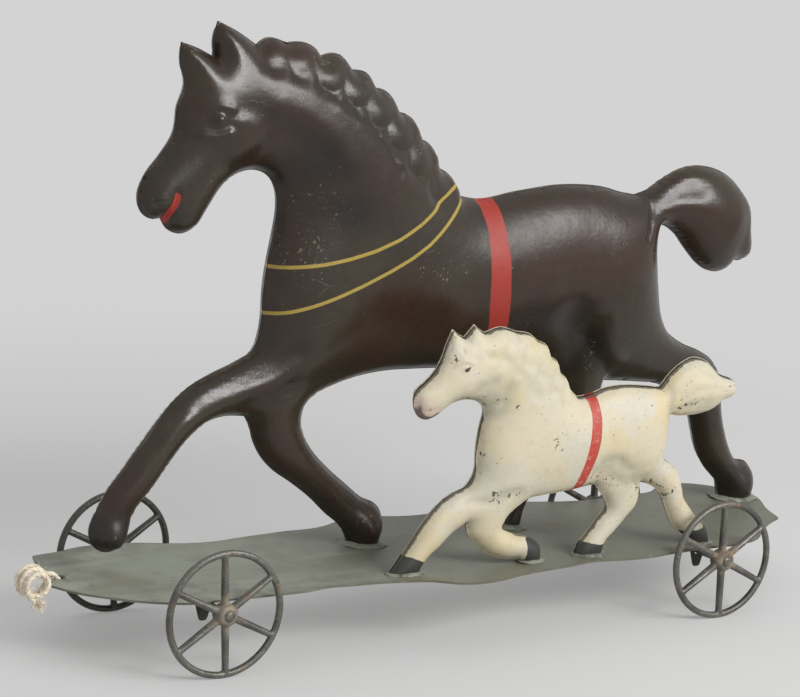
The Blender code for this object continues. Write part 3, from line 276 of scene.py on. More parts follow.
# A horse's place is (along X, along Y) on the platform, and its turn is in degrees. Its fullness is
# how round the tin swells, in millimetres. The outline's points are outline_step apart, the rings
# along the edge are as wide as its insets, and the squares that fill it are step wide. A fine box,
# with its lowest and highest corner, is cut once more into squares of its own size.
BIG_HORSE = {
    "name": "big_horse",
    "outline": BIG_HORSE_OUTLINE,
    "place": (-8.5, 11.0),
    "turn": 4.0,
    "fullness": 4.2,
    "tin": 0.5,
    "outline_step": 1.6,
    "insets": (0.4, 0.15, 0.3),
    "step": 1.8,
    "fine": [
        ((-130, 114), (-60, 190), 1.8),
        ((-62, 120), (14, 184), 1.8),
        ((-127, 119), (-94, 163), 0.9),
        ((40, 92), (130, 134), 1.8),
    ],
    # Rounded swellings: middle, reach, height
    "spots": [
        ((-58, 98), (20, 24), 2.2),
        ((92, 92), (20, 26), 3.0),
        ((20, 96), (44, 24), 1.4),
        ((66, 66), (10, 13), -3.4),
        ((60, 80), (7, 8), -1.6),
        ((-90, 147), (9, 10), 1.6),
        ((-97, 159), (9, 6), 1.0),
        ((-100.4, 156.9), (4.6, 3.4), -1.1),
        ((-100.4, 156.9), (2.1, 1.8), 2.6),
        ((-91.8, 156.6), (3.0, 1.3), 0.8),
        ((-106.2, 151.4), (2.0, 1.3), 0.7),
        ((-119, 129), (5, 5), 1.0),
        ((-120.6, 129.4), (2.6, 2.6), 0.9),
        ((-121.0, 129.0), (1.2, 1.2), -1.6),
        ((-128, 9), (9, 6.5), 4.0),
        ((-22, 5), (8, 6.5), 3.2),
        ((46, 3), (7, 6), 2.4),
        ((161, 4), (8, 6.5), 3.0),
        ((132, 112), (14, 14), 1.6),
        ((-60, 44), (9, 12), -1.2),
    ],
    # Ridges and grooves: line, half width, height
    "lines": [
        ([(-105.5, 159.8), (-100.6, 161.4), (-95.2, 160.4)], 1.5, 0.7),
        ([(-105.0, 151.6), (-101.0, 151.0), (-96.6, 152.4)], 1.3, 1.0),
        ([(-115.2, 121.6), (-114.9, 126.0), (-113.5, 132.2)], 1.1, -1.1),
        ([(-97.6, 187.0), (-98.4, 177.0)], 1.0, 0.8),
        ([(-95.6, 185.0), (-95.2, 177.5)], 1.5, -1.5),
        ([(-109.6, 179.5), (-106.8, 172.0)], 1.4, -1.3),
        ([(-96.9, 142.0), (-90.5, 140.6), (-83.5, 144.5), (-80.5, 152.0)], 3.0, -0.9),
        ([(-76.0, 160.0), (-65.0, 156.5), (-55.0, 149.5), (-47.0, 141.0)], 5.0, 0.6),
        ([(-92.5, 159.8), (-86.0, 159.6), (-76.0, 156.0), (-67.0, 152.0), (-58.0, 145.4)], 4.2, -1.0),
        ([(-83.0, 173.8), (-69.2, 170.2), (-56.0, 165.4), (-43.0, 157.4), (-34.0, 149.2),
          (-24.5, 137.0)], 1.6, -0.5),
        ([(-79.0, 57.0), (-75.0, 58.3), (-69.1, 60.3), (-61.8, 62.8)], 3.2, -1.5),
        ([(-62.0, 63.0), (-46.6, 66.6), (-32.8, 69.0)], 4.0, -0.8),
        ([(-101.0, 57.4), (-97.3, 59.6), (-89.3, 63.3), (-78.9, 67.2), (-70.0, 71.0),
          (-62.0, 76.0)], 3.5, -1.7),
        ([(-134.0, 22.4), (-126.0, 21.4), (-119.0, 22.0)], 5.0, -1.4),
        ([(-33.0, 17.0), (-26.0, 17.4), (-18.0, 18.4)], 5.0, -1.2),
        ([(-114.0, 38.0), (-108.0, 50.1), (-102.0, 55.0)], 1.6, 0.7),
        ([(70.0, 72.0), (75.7, 63.3), (86.0, 54.5)], 3.6, -1.6),
        ([(75.0, 80.0), (77.5, 71.0), (84.0, 62.0)], 4.5, 1.0),
        ([(94.0, 108.0), (95.6, 112.0), (98.0, 118.0), (100.5, 124.5)], 1.8, -1.3),
        ([(101.0, 118.2), (106.0, 122.0), (112.0, 125.0), (119.0, 126.0)], 4.6, -2.0),
        ([(-137.0, 21.6), (-128.0, 20.6), (-119.0, 20.6)], 1.1, -0.5),
        ([(-34.0, 13.6), (-24.0, 14.8), (-13.0, 14.6)], 1.1, -0.5),
        ([(144.0, 15.6), (156.0, 14.6), (168.0, 12.6)], 1.1, -0.5),
        ([(128.0, 96.0), (136.0, 104.0), (141.0, 116.0)], 3.0, 0.7),
        ([(143.0, 95.0), (146.0, 104.0), (147.5, 112.0)], 2.2, -0.6),
    ],
    # Lobes of the mane: middle, radius, height
    "lobes": [
        ((-2.7, 131.1), 6.2, 1.6),
        ((-12.8, 141.2), 6.8, 2.1),
        ((-22.4, 151.0), 7.0, 2.3),
        ((-31.5, 159.4), 6.9, 2.3),
        ((-41.3, 166.8), 7.0, 2.3),
        ((-53.0, 172.4), 7.0, 2.3),
        ((-65.6, 177.4), 6.2, 2.0),
        ((-76.4, 179.2), 5.4, 1.5),
    ],
    # How much of its height the mane loses between the lobes, how much less worn the right half's
    # edge is, and how far that half's upper edge stands above the left half's, in millimetres
    "mane_sunk": 0.24,
    "far_rim": 0.0,
    "far_lift": 0.0,
    # Places where the varnish is rubbed, pitted or chipped: middle, reach
    "worn": [
        ((-60, 112), (13, 26)),
        ((-60, 164), (9, 6)),
        ((-88, 164), (9, 6)),
        ((-58, 174), (8, 6)),
        ((-34, 163), (7, 6)),
        ((-14, 146), (7, 7)),
        ((-3, 100), (16, 6)),
        ((30, 112), (16, 9)),
        ((73, 68), (6, 12)),
        ((-24, 9), (9, 9)),
        ((-131, 10), (9, 8)),
        ((-104, 181), (7, 7)),
        ((-120, 128), (6, 6)),
    ],
    # Places where it is darker: painted shade in the flank hollow, under the belly and low on the neck
    "soil_and_shade": [
        ((-56, 141), (17, 12)),
        ((-46, 125), (14, 10)),
        ((60, 80), (11, 8)),
        ((44, 81), (15, 7)),
        ((68, 66), (9, 12)),
    ],
    "marks": {
        "girth": [
            [(17.0, 132), (17.8, 124.5), (17.4, 121), (17.8, 115), (17.4, 109.6), (17.1, 102.1),
             (17.1, 94.4), (17.9, 87.6), (20.0, 78.4), (21.4, 70), (22.4, 58), (31.4, 58), (30.2, 70),
             (29.1, 77.7), (28.0, 84.2), (26.9, 91.1), (26.4, 96.5), (26.2, 106.1), (25.9, 111.7),
             (25.7, 120.5), (25.5, 132)],
        ],
        "reins": [
            [(-79, 103), (-70.7, 103.9), (-61.8, 105.0), (-54.8, 106.0), (-45.5, 107.8), (-35.3, 110.2),
             (-24.6, 113.9), (-14.8, 118.8), (-9.3, 122.2), (-2.8, 126.2), (5.2, 129.7), (13, 133),
             (15, 129.6), (9.4, 126.0), (5.0, 123.0), (0.1, 119.5), (-6.2, 114.9), (-11.5, 111.2),
             (-19.4, 106.8), (-28.5, 102.6), (-38.8, 98.4), (-48.8, 94.7), (-58.3, 91.3), (-65.2, 89.0),
             (-71.0, 87.6), (-79, 86)],
        ],
        "mouth": [
            [(-114.5, 132.3), (-112.4, 132.0), (-112.6, 128.3), (-113.7, 124.5), (-113.6, 120.6),
             (-116.2, 121.4), (-116.5, 125.4), (-115.2, 128.8)],
        ],
        "hooves": [
            [(-146, 22.6), (-136, 21.8), (-128, 20.8), (-119, 20.8), (-114, 21), (-114, 0), (-146, 0)],
            [(138, 16.4), (145, 15.6), (156, 14.6), (168, 12.6), (176, 12), (176, -8), (138, -8)],
        ],
    },
}

SMALL_HORSE = {
    "name": "small_horse",
    "outline": SMALL_HORSE_OUTLINE,
    "place": (-8.5, -29.5),
    "turn": 0.0,
    "fullness": 2.0,
    "tin": 0.4,
    "outline_step": 1.1,
    "insets": (0.3, 0.12, 0.2),
    "step": 1.2,
    "fine": [((-31, 50), (42, 90), 1.2), ((-20, 70), (-4, 80), 0.6)],
    "spots": [
        ((8, 40), (10, 11), 1.0),
        ((72, 43), (10, 12), 1.3),
        ((40, 42), (20, 12), 0.8),
        ((-12, 68), (5, 5), 0.7),
        ((-11.9, 73.3), (1.3, 1.0), 0.5),
        ((-26.6, 60.6), (1.6, 1.4), 0.5),
        ((95, 60), (9, 8), 0.8),
        ((60, 30), (8, 6), -0.8),
    ],
    "lines": [
        ([(-15.2, 75.0), (-12.6, 76.2), (-9.6, 75.4)], 0.8, 0.5),
        ([(-28.2, 58.0), (-24.0, 58.8), (-21.6, 59.4)], 0.6, -0.5),
        ([(-14.4, 83.5), (-12.6, 79.4)], 0.8, -0.7),
        ([(-6.8, 85.0), (-6.4, 80.6)], 0.8, -0.6),
        ([(-13.0, 61.0), (-7.5, 63.0), (-4.5, 67.0)], 1.4, -0.5),
        ([(-6.0, 25.0), (2.5, 24.6), (8.0, 26.8), (15.0, 27.8)], 1.5, -0.8),
        ([(47.4, 31.6), (50.5, 35.0), (56.0, 36.8), (60.5, 33.4)], 2.0, -0.9),
        ([(55.9, 29.3), (62.0, 26.4), (70.2, 26.6)], 1.8, -0.7),
        ([(80.0, 50.0), (79.4, 54.0), (80.4, 60.0)], 1.2, -0.6),
        ([(82.6, 58.6), (88.0, 64.0), (93.6, 66.2), (100.0, 63.2)], 0.8, -0.45),
        ([(83.0, 55.6), (91.0, 60.4), (99.0, 60.4), (108.0, 58.6)], 0.8, -0.45),
        ([(84.0, 52.8), (92.0, 55.4), (100.0, 55.8), (107.0, 56.2)], 0.8, -0.40),
        ([(-2.0, 78.0), (6.0, 74.4), (13.0, 69.0), (19.0, 62.6)], 2.0, -0.35),
        ([(30.4, 58.0), (31.6, 62.6), (34.6, 66.0)], 1.0, -0.5),
        ([(24.0, 62.4), (25.8, 67.6), (30.0, 71.4)], 1.0, -0.5),
        ([(17.0, 66.6), (19.4, 72.0), (24.0, 77.4)], 1.0, -0.5),
        ([(9.6, 70.6), (12.0, 76.4), (16.2, 81.6)], 1.0, -0.5),
        ([(1.6, 73.4), (4.0, 78.4), (6.6, 83.6)], 1.0, -0.4),
    ],
    "lobes": [
        ((35.4, 61.2), 4.6, 0.8),
        ((29.6, 67.4), 4.8, 0.9),
        ((23.4, 73.2), 4.8, 0.9),
        ((16.4, 78.0), 5.0, 0.9),
        ((7.6, 80.6), 5.4, 0.8),
        ((-0.6, 80.8), 4.2, 0.6),
    ],
    "mane_sunk": 0.12,
    "far_rim": 0.7,
    "far_lift": 0.6,
    "worn": [
        ((9.6, 58.5), (2.6, 5.0)),
        ((-15.0, 78.0), (3.0, 6.0)),
        ((-4.0, 60.6), (12.0, 2.4)),
        ((0.0, 41.0), (2.6, 3.0)),
        ((7.0, 26.0), (9.0, 4.0)),
        ((52.0, 29.0), (7.0, 7.0)),
        ((72.0, 25.0), (10.0, 3.6)),
        ((82.0, 20.0), (5.0, 6.0)),
        ((88.6, 53.4), (7.0, 3.0)),
        ((109.0, 58.0), (5.0, 4.0)),
        ((29.0, 44.0), (4.0, 4.0)),
    ],
    # Places where it is darker, both soil and painted shade: under the jaw, in the thigh and tail
    # creases, by the hooves
    "soil_and_shade": [
        ((3.6, 60.6), (5.0, 6.0)),
        ((6.4, 66.4), (3.4, 4.0)),
        ((0.5, 69.0), (3.0, 2.0)),
        ((55.0, 34.6), (8.0, 4.4)),
        ((66.0, 29.0), (10.0, 5.0)),
        ((12.0, 27.0), (10.0, 2.6)),
        ((-8.0, 61.4), (12.0, 1.8)),
        ((60.0, 33.0), (12.0, 3.0)),
        ((47.0, 27.6), (6.0, 2.4)),
        ((80.4, 55.0), (1.8, 6.0)),
        ((92.0, 54.4), (9.0, 1.6)),
        ((-30.0, 12.0), (7.0, 5.0)),
        ((100.0, 8.0), (8.0, 5.0)),
    ],
    "marks": {
        "girth": [
            [(43.8, 64), (43.6, 58.8), (43.9, 53.5), (42.6, 45), (41.5, 37.6), (40.6, 30), (39.8, 21),
             (43.8, 21), (44.6, 28), (45.6, 35.2), (46.9, 42.9), (48.0, 51.6), (47.8, 58.8), (47.6, 64)],
        ],
        "hooves": [
            [(-40, 7.0), (-31.5, 7.2), (-27, 6.4), (-22.5, 4.8), (-19, 2.5), (-19, -5), (-40, -5)],
            [(21.6, 9.0), (31.5, 8.8), (32.5, -5), (21.0, -5), (21.6, 2)],
            [(42, 5.0), (48, 5.4), (54, 4.4), (60, 3.6), (60, -5), (42, -5)],
            [(90, 5.4), (100, 6.2), (109, 7.6), (109, -5), (90, -5)],
        ],
        "muzzle": [
            [(-32, 66), (-27.5, 63.4), (-24.2, 60.4), (-20.4, 59), (-20, 53), (-32, 53)],
        ],
        "lips": [
            [(-30, 59.6), (-27.6, 59.3), (-26.0, 57.0), (-23.4, 56.4), (-20.6, 58.0), (-18.6, 57),
             (-22, 52), (-32, 54)],
            [(-28.5, 60.8), (-27.9, 61.1), (-26.9, 59.6), (-27.5, 59.3)],
            [(-23.6, 60.9), (-23.0, 61.2), (-24.4, 58.7), (-25.0, 58.5)],
        ],
        "eye": [
            [(-13.1, 72.9), (-12.0, 73.9), (-10.2, 74.2), (-10.7, 73.3), (-11.5, 72.5), (-12.5, 72.4)],
        ],
    },
}
HORSES = {"big": BIG_HORSE, "small": SMALL_HORSE}
HOOF_CUT = 0.9
FLANGE_HEIGHT = 0.35
# How full a lobe of the mane is, how far past its radius the mane sinks, and how sharply that ends
LOBE_POWER = 0.85
MANE_REACH = 1.25
MANE_POWER = 4
# An edge that faces down or back counts as this much further in, so it is less worn
SHELTERED = 0.9
# How much an edge that faces forward counts beside one that faces up
FORWARD_SHARE = 0.5
# The lift of a right half's upper edge starts at this height, and is whole this much higher
LIFT_START = 15.0
LIFT_REACH = 30.0

# Hooves that stand on the platform: middle, length and half width of each base
HOOF_SOLDER = {
    "big": {"fore": (-21.2, 12.4, 6.4), "middle": (45.4, 10.2, 5.6), "rear": (159.8, 14.2, 6.6)},
    "small": {"front": (-27.6, 11.6, 3.2), "bent": (25.6, 8.0, 2.9), "middle": (51.2, 11.6, 3.9),
              "rear": (101.8, 9.2, 3.0)},
}
SOLDER_MARGIN = {"big": 2.6, "small": 1.5}
SOLDER_HEIGHT = {"big": 1.9, "small": 1.3}
SOLDER_SUNK = 0.25


# Settings

def colour(name, description, default):
    return bpy.props.FloatVectorProperty(
        name=name, description=description, default=default, size=3, min=0.0, max=1.0, subtype="COLOR"
    )


def length(name, description, default):
    return bpy.props.FloatProperty(
        name=name,
        description=description,
        default=default,
        min=0.0,
        unit="LENGTH",
        subtype="DISTANCE",
        precision=5,
    )


def power(name, description, default):
    return bpy.props.FloatProperty(
        name=name, description=description, default=default, min=0.0, unit="POWER"
    )


def number(name, description, default):
    return bpy.props.IntProperty(name=name, description=description, default=default, min=1)


def share(name, description, default):
    return bpy.props.FloatProperty(
        name=name, description=description, default=default, min=0.0, max=1.0, subtype="FACTOR"
    )


class TinToyHorses(bpy.types.PropertyGroup):
    japan: colour("Japan", "Dark brown varnish of the large horse", (0.0245, 0.0178, 0.0108))
    worn_japan: colour("Worn japan", "Yellower brown where the varnish is thin", (0.041, 0.0315, 0.0180))
    red_japan: colour("Red japan", "Redder brown patches of the varnish", (0.0300, 0.0150, 0.0090))
    cream: colour("Cream paint", "Paint of the small horse", (0.525, 0.473, 0.350))
    girth: colour("Girth red", "Red of the large horse's girth and mouth", (0.285, 0.024, 0.014))
    small_girth: colour("Small girth red", "Red of the small horse's girth", (0.39, 0.044, 0.027))
    reins: colour("Rein gold", "Gold of the two rein lines", (0.32, 0.232, 0.044))
    rein_width: length("Rein width", "Width of each painted rein line", 0.00125)
    wear: share("Wear", "How chipped and scratched the horses are", 0.55)


class TinToyGear(bpy.types.PropertyGroup):
    iron: colour("Cast iron", "Bare grey of the cast wheels", (0.150, 0.147, 0.130))
    rust: colour("Rust", "Brown rust on wheels, axles and brackets", (0.150, 0.090, 0.045))
    plate: colour("Platform paint", "Grey-green paint of the platform", (0.217, 0.230, 0.180))
    solder: colour("Solder", "Dull grey of the solder", (0.20, 0.20, 0.165))
    dust: colour("Dust", "Tan dust and rust round the hubs", (0.26, 0.205, 0.140))
    casting_grain: length("Casting grain", "Cell size of the wheels' cast surface", 0.00030)
    plate_wave: length("Platform wave", "How far the thin platform bends up and down", 0.00030)


class TinToyString(bpy.types.PropertyGroup):
    cotton: colour("Cotton", "Colour of the pull string", (0.80, 0.71, 0.56))
    diameter: length("Diameter", "Thickness of the pull string", 0.0019)
    twist: length("Twist", "Length of one full twist of the strands", 0.0062)
    fibres: number("Fibres", "Loose fibres at its end", 70)
    fuzz: number("Fuzz", "Short fibres along its length", 420)


class TinToyStage(bpy.types.PropertyGroup):
    backdrop: colour("Backdrop", "Colour of the backdrop and the far floor", (0.651, 0.651, 0.651))
    floor: colour("Floor", "Colour of the floor under the toy", (0.62, 0.62, 0.615))
    floor_glow: share("Floor glow", "How much of the backdrop the floor near the toy shows", 0.36)
    side_power: power("Side softbox", "Power of the softbox at the right", 10.0)
    front_power: power("Front softbox", "Power of the softbox in front", 4.0)
    overhead_power: power("Overhead softbox", "Power of the overhead softbox", 1.1)
    room_light: share("Room light", "Strength of the even light of the room", 0.52)


# Shapes

def smooth_run(points, spacing):
    """Points at about even spacing on a smooth curve through a run, without its last point."""
    points = np.array(points, float)
    chords = np.linalg.norm(np.diff(points, axis=0), axis=1)
    stations = np.concatenate([[0.0], np.cumsum(chords)])
    slopes = np.gradient(points, stations, axis=0)
    fine = []
    for index, chord in enumerate(chords):
        for t in np.linspace(0.0, 1.0, 12, endpoint=False):
            fine.append(
                (2 * t**3 - 3 * t**2 + 1) * points[index]
                + (t**3 - 2 * t**2 + t) * chord * slopes[index]
                + (3 * t**2 - 2 * t**3) * points[index + 1]
                + (t**3 - t**2) * chord * slopes[index + 1]
            )
    fine = np.array(fine + [points[-1]])
    lengths = np.concatenate([[0.0], np.cumsum(np.linalg.norm(np.diff(fine, axis=0), axis=1))])
    count = max(2, round(lengths[-1] / spacing))
    even = np.linspace(0.0, lengths[-1], count, endpoint=False)
    return np.stack([np.interp(even, lengths, fine[:, axis]) for axis in range(points.shape[1])], axis=1)


def closed_outline(runs, spacing):
    """Points round a whole outline, with its corners kept."""
    return np.concatenate([smooth_run(run, spacing) for run in runs])


def smooth_distance(points, outline):
    """A distance from the outline that has no ridges: near an edge it is the true distance."""
    sides = np.roll(outline, -1, axis=0) - outline
    lengths = np.linalg.norm(sides, axis=1)
    along = sides / lengths[:, None]
    across = np.stack([-along[:, 1], along[:, 0]], axis=1)
    found = []
    for group in np.array_split(points, max(1, len(points) // POINTS_AT_ONCE)):
        offsets = group[:, None, :] - outline[None, :, :]
        near = np.einsum("pij,ij->pi", offsets, along)
        beside = np.maximum(np.abs(np.einsum("pij,ij->pi", offsets, across)), 1e-4)
        far = lengths[None, :] - near
        reach = far / np.hypot(far, beside) + near / np.hypot(near, beside)
        found.append(np.sqrt(2.0 / np.sum(np.maximum(reach, 0.0) / beside**2, axis=1)))
    return np.concatenate(found)


def line_distance(points, line):
    """Each point's distance from an open line."""
    line = np.array(line, float)
    sides = np.diff(line, axis=0)
    offsets = points[:, None, :] - line[None, :-1, :]
    part = np.clip(np.einsum("pij,ij->pi", offsets, sides) / np.sum(sides**2, axis=1), 0.0, 1.0)
    gaps = offsets - part[..., None] * sides
    return np.sqrt(np.min(np.sum(gaps**2, axis=2), axis=1))


def mark_distance(points, patches):
    """How far each point lies inside the nearest painted patch, below 0 outside."""
    deepest = np.full(len(points), -1e3)
    x, y = points[:, 0][:, None], points[:, 1][:, None]
    for patch in patches:
        ring = np.array(patch, float)
        after = np.roll(ring, -1, axis=0)
        rise = np.where(after[:, 1] == ring[:, 1], 1.0, after[:, 1] - ring[:, 1])
        crosses = (ring[:, 1] > y) != (after[:, 1] > y)
        where = ring[:, 0] + (y - ring[:, 1]) * (after[:, 0] - ring[:, 0]) / rise
        inside = np.sum(crosses & (x < where), axis=1) % 2 == 1
        away = line_distance(points, np.concatenate([ring, ring[:1]]))
        deepest = np.maximum(deepest, np.where(inside, away, -away))
    return deepest


def everything(shape):
    return shape.verts[:] + shape.edges[:] + shape.faces[:]


def faces_inside(shape, low, high):
    """The faces that lie inside a box, with their edges and corners."""
    faces = [
        face for face in shape.faces
        if all(low[axis] <= vert.co[axis] <= high[axis] for vert in face.verts for axis in (0, 1))
    ]
    edges = {edge for face in faces for edge in face.edges}
    return faces + list(edges) + list({vert for face in faces for vert in face.verts})


def cut_squares(shape, low, high, step, whole=False):
    """Cut a flat sheet into squares inside a box, or right across."""
    for axis in (0, 1):
        normal = Vector((0, 0, 0))
        normal[axis] = 1.0
        for place in np.arange(low[axis] + step / 2, high[axis], step):
            chosen = everything(shape) if whole else faces_inside(shape, low, high)
            bmesh.ops.bisect_plane(
                shape, geom=chosen, dist=1e-5, plane_co=normal * place, plane_no=normal
            )


def outline_sheet(outline, insets, step, fine=()):
    """A flat sheet inside an outline: narrow rings along its edge, and squares that fill it."""
    shape = bmesh.new()
    face = shape.faces.new([shape.verts.new((x, y, 0.0)) for x, y in outline])
    for inset in insets:
        bmesh.ops.inset_region(
            shape, faces=[face], thickness=inset, use_even_offset=True, use_boundary=True
        )
    inner_ring = list(face.verts)
    ring_verts = set(shape.verts)
    low, high = outline.min(axis=0), outline.max(axis=0)
    cut_squares(shape, low, high, step, whole=True)
    smallest = step
    for box_low, box_high, box_step in fine:
        cut_squares(shape, box_low, box_high, box_step)
        smallest = min(smallest, box_step / 2)
    free = [vert for vert in shape.verts if vert not in ring_verts]
    reach = min(MERGE_SHARE * smallest, MERGE_REACH)
    bmesh.ops.remove_doubles(shape, verts=inner_ring + free, dist=reach)
    bmesh.ops.recalc_face_normals(shape, faces=shape.faces)
    if sum(face.normal.z for face in shape.faces) < 0:
        bmesh.ops.reverse_faces(shape, faces=shape.faces)
    return shape


def store(shape, name, values):
    """Keep one number for each vertex, under a name that the finish reads."""
    layer = shape.verts.layers.float.new(name)
    for vert, value in zip(shape.verts, values):
        vert[layer] = value


def edge_facing(points, outline):
    """How far the nearest edge faces up or forward, from 0 to 1."""
    before, after = np.roll(outline, 1, axis=0), np.roll(outline, -1, axis=0)
    away = after - before
    outward = np.stack([away[:, 1], -away[:, 0]], axis=1) / np.linalg.norm(away, axis=1)[:, None]
    enclosed = np.sum(outline[:, 0] * after[:, 1] - outline[:, 1] * after[:, 0])
    upward = outward[:, 1] - FORWARD_SHARE * outward[:, 0]
    facing = np.clip(np.sign(enclosed) * upward, 0.0, 1.0)
    found = []
    for group in np.array_split(points, max(1, len(points) // POINTS_AT_ONCE)):
        gaps = np.linalg.norm(group[:, None, :] - outline[None, :, :], axis=2)
        found.append(facing[np.argmin(gaps, axis=1)])
    return np.concatenate(found)


def near_spots(points, spots):
    """1 at the middle of any of the soft round spots, 0 well away from all."""
    found = np.zeros(len(points))
    for middle, reach in spots:
        offset = (points - np.array(middle)) / np.array(reach)
        found = np.maximum(found, np.exp(-np.sum(offset**2, axis=1)))
    return found


def relief(points, outline, horse):
    """Height of the pressed tin above the seam, and how deep each point lies in a groove."""
    rise = np.maximum(smooth_distance(points, outline) - horse["insets"][0], 0.0)
    height = FLANGE_HEIGHT + np.sqrt(2 * horse["fullness"] * rise)
    fade = 1 - np.exp(-rise / horse["fullness"])
    groove = np.zeros(len(points))
    for middle, reach, swelling in horse["spots"]:
        offset = (points - np.array(middle)) / np.array(reach)
        height += swelling * fade * np.exp(-np.sum(offset**2, axis=1))
    for line, width, swelling in horse["lines"]:
        near = np.exp(-(line_distance(points, line) / width) ** 2)
        height += swelling * fade * near
        if swelling < 0:
            groove = np.maximum(groove, near)
    lobes = np.zeros(len(points))
    mane = np.zeros(len(points))
    for middle, radius, lump in horse["lobes"]:
        away = np.linalg.norm(points - np.array(middle), axis=1) / radius
        lobes = np.maximum(lobes, lump * np.maximum(1 - away**2, 0.0) ** LOBE_POWER)
        mane = np.maximum(mane, np.exp(-((away / MANE_REACH) ** MANE_POWER)))
    height += lobes * fade - horse["mane_sunk"] * mane * (height - FLANGE_HEIGHT)
    return np.maximum(height, FLANGE_HEIGHT), groove * fade


def add_piece(name, mesh, finish, body, slot, *nodes):
    """Link a finished mesh as a piece that rides on a body and stands for CAD nodes."""
    piece = bpy.data.objects.new(name, mesh)
    bpy.context.scene.collection.objects.link(piece)
    mesh.materials.append(finish)
    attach(piece, body)
    if nodes:
        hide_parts(*nodes)
    return piece


def mesh_of(shape, name, smooth_angle=40.0):
    mesh = bpy.data.meshes.new(name)
    shape.to_mesh(mesh)
    shape.free()
    mesh.shade_smooth()
    mesh.set_sharp_from_angle(angle=math.radians(smooth_angle))
    return mesh


def apply_modifiers(mesh, *modifiers):
    """The mesh after modifiers, each given as its type and settings."""
    holder = bpy.data.objects.new("holder", mesh)
    bpy.context.scene.collection.objects.link(holder)
    for kind, settings in modifiers:
        modifier = holder.modifiers.new(kind.lower(), kind)
        for name, value in settings.items():
            setattr(modifier, name, value)
    bpy.context.view_layer.update()
    graph = bpy.context.evaluated_depsgraph_get()
    finished = bpy.data.meshes.new_from_object(holder.evaluated_get(graph))
    bpy.data.objects.remove(holder, do_unlink=True)
    return finished


def drill(mesh, radius, depth, matrix, facets=32):
    """Cut a round hole through a mesh."""
    shape = bmesh.new()
    bmesh.ops.create_cone(
        shape, cap_ends=True, segments=facets, radius1=radius, radius2=radius, depth=depth, matrix=matrix
    )
    cutter = bpy.data.objects.new("cutter", mesh_of(shape, "cutter"))
    bpy.context.scene.collection.objects.link(cutter)
    settings = {"operation": "DIFFERENCE", "solver": "EXACT", "object": cutter}
    drilled = apply_modifiers(mesh, ("BOOLEAN", settings))
    bpy.data.objects.remove(cutter, do_unlink=True)
    return drilled


def mirrored(corners):
    """A profile whose lower half mirrors the corners of its upper half, from the inside out."""
    return [(radius, -height) for radius, height in corners] + corners[::-1]


def spin_profile(shape, profile, steps, closed):
    """Turn a profile of (radius, height) corners round Z."""
    corners = [shape.verts.new((radius, 0.0, height)) for radius, height in profile]
    sides = [shape.edges.new(pair) for pair in zip(corners, corners[1:])]
    if closed:
        sides.append(shape.edges.new((corners[-1], corners[0])))
    bmesh.ops.spin(
        shape,
        geom=corners + sides,
        cent=(0, 0, 0),
        axis=(0, 0, 1),
        dvec=(0, 0, 0),
        angle=2 * math.pi,
        steps=steps,
        use_merge=True,
        use_duplicate=False,
    )
    bmesh.ops.remove_doubles(shape, verts=shape.verts, dist=1e-6)
    bmesh.ops.recalc_face_normals(shape, faces=shape.faces)


# Finishes

class Value:
    """An output of a node. Sums on it add their Math nodes."""

    def __init__(self, nodes, socket):
        self.nodes = nodes
        self.socket = socket

    def __add__(self, other):
        return self.nodes.math("ADD", self, other)

    def __sub__(self, other):
        return self.nodes.math("SUBTRACT", self, other)

    def __rsub__(self, other):
        return self.nodes.math("SUBTRACT", other, self)

    def __mul__(self, other):
        return self.nodes.math("MULTIPLY", self, other)

    __radd__ = __add__
    __rmul__ = __mul__


class Nodes:
    """The nodes of a material or of the world."""

    def __init__(self, tree):
        self.tree = tree

    def node(self, kind, settings=None, values=None, output=0):
        """A node of any kind: first its settings, then the values or links of its sockets."""
        node = self.tree.nodes.new(kind)
        for name, setting in (settings or {}).items():
            setattr(node, name, setting)
        for name, value in (values or {}).items():
            self.join(value, node.inputs[name])
        return Value(self, node.outputs[output])

    def join(self, value, socket):
        if isinstance(value, Value):
            self.tree.links.new(value.socket, socket)
        elif socket.type == "RGBA":
            socket.default_value = (*value[:3], 1.0)
        else:
            socket.default_value = value

    def math(self, operation, *values):
        return self.node("ShaderNodeMath", {"operation": operation}, dict(enumerate(values)))

    def shown_rays(self):
        """1 for rays that show the backdrop: from the camera, and through gloss or glass."""
        camera, gloss, glass = (
            self.node("ShaderNodeLightPath", output=ray)
            for ray in ("Is Camera Ray", "Is Glossy Ray", "Is Transmission Ray")
        )
        return self.math("MAXIMUM", self.math("MAXIMUM", camera, gloss), glass)


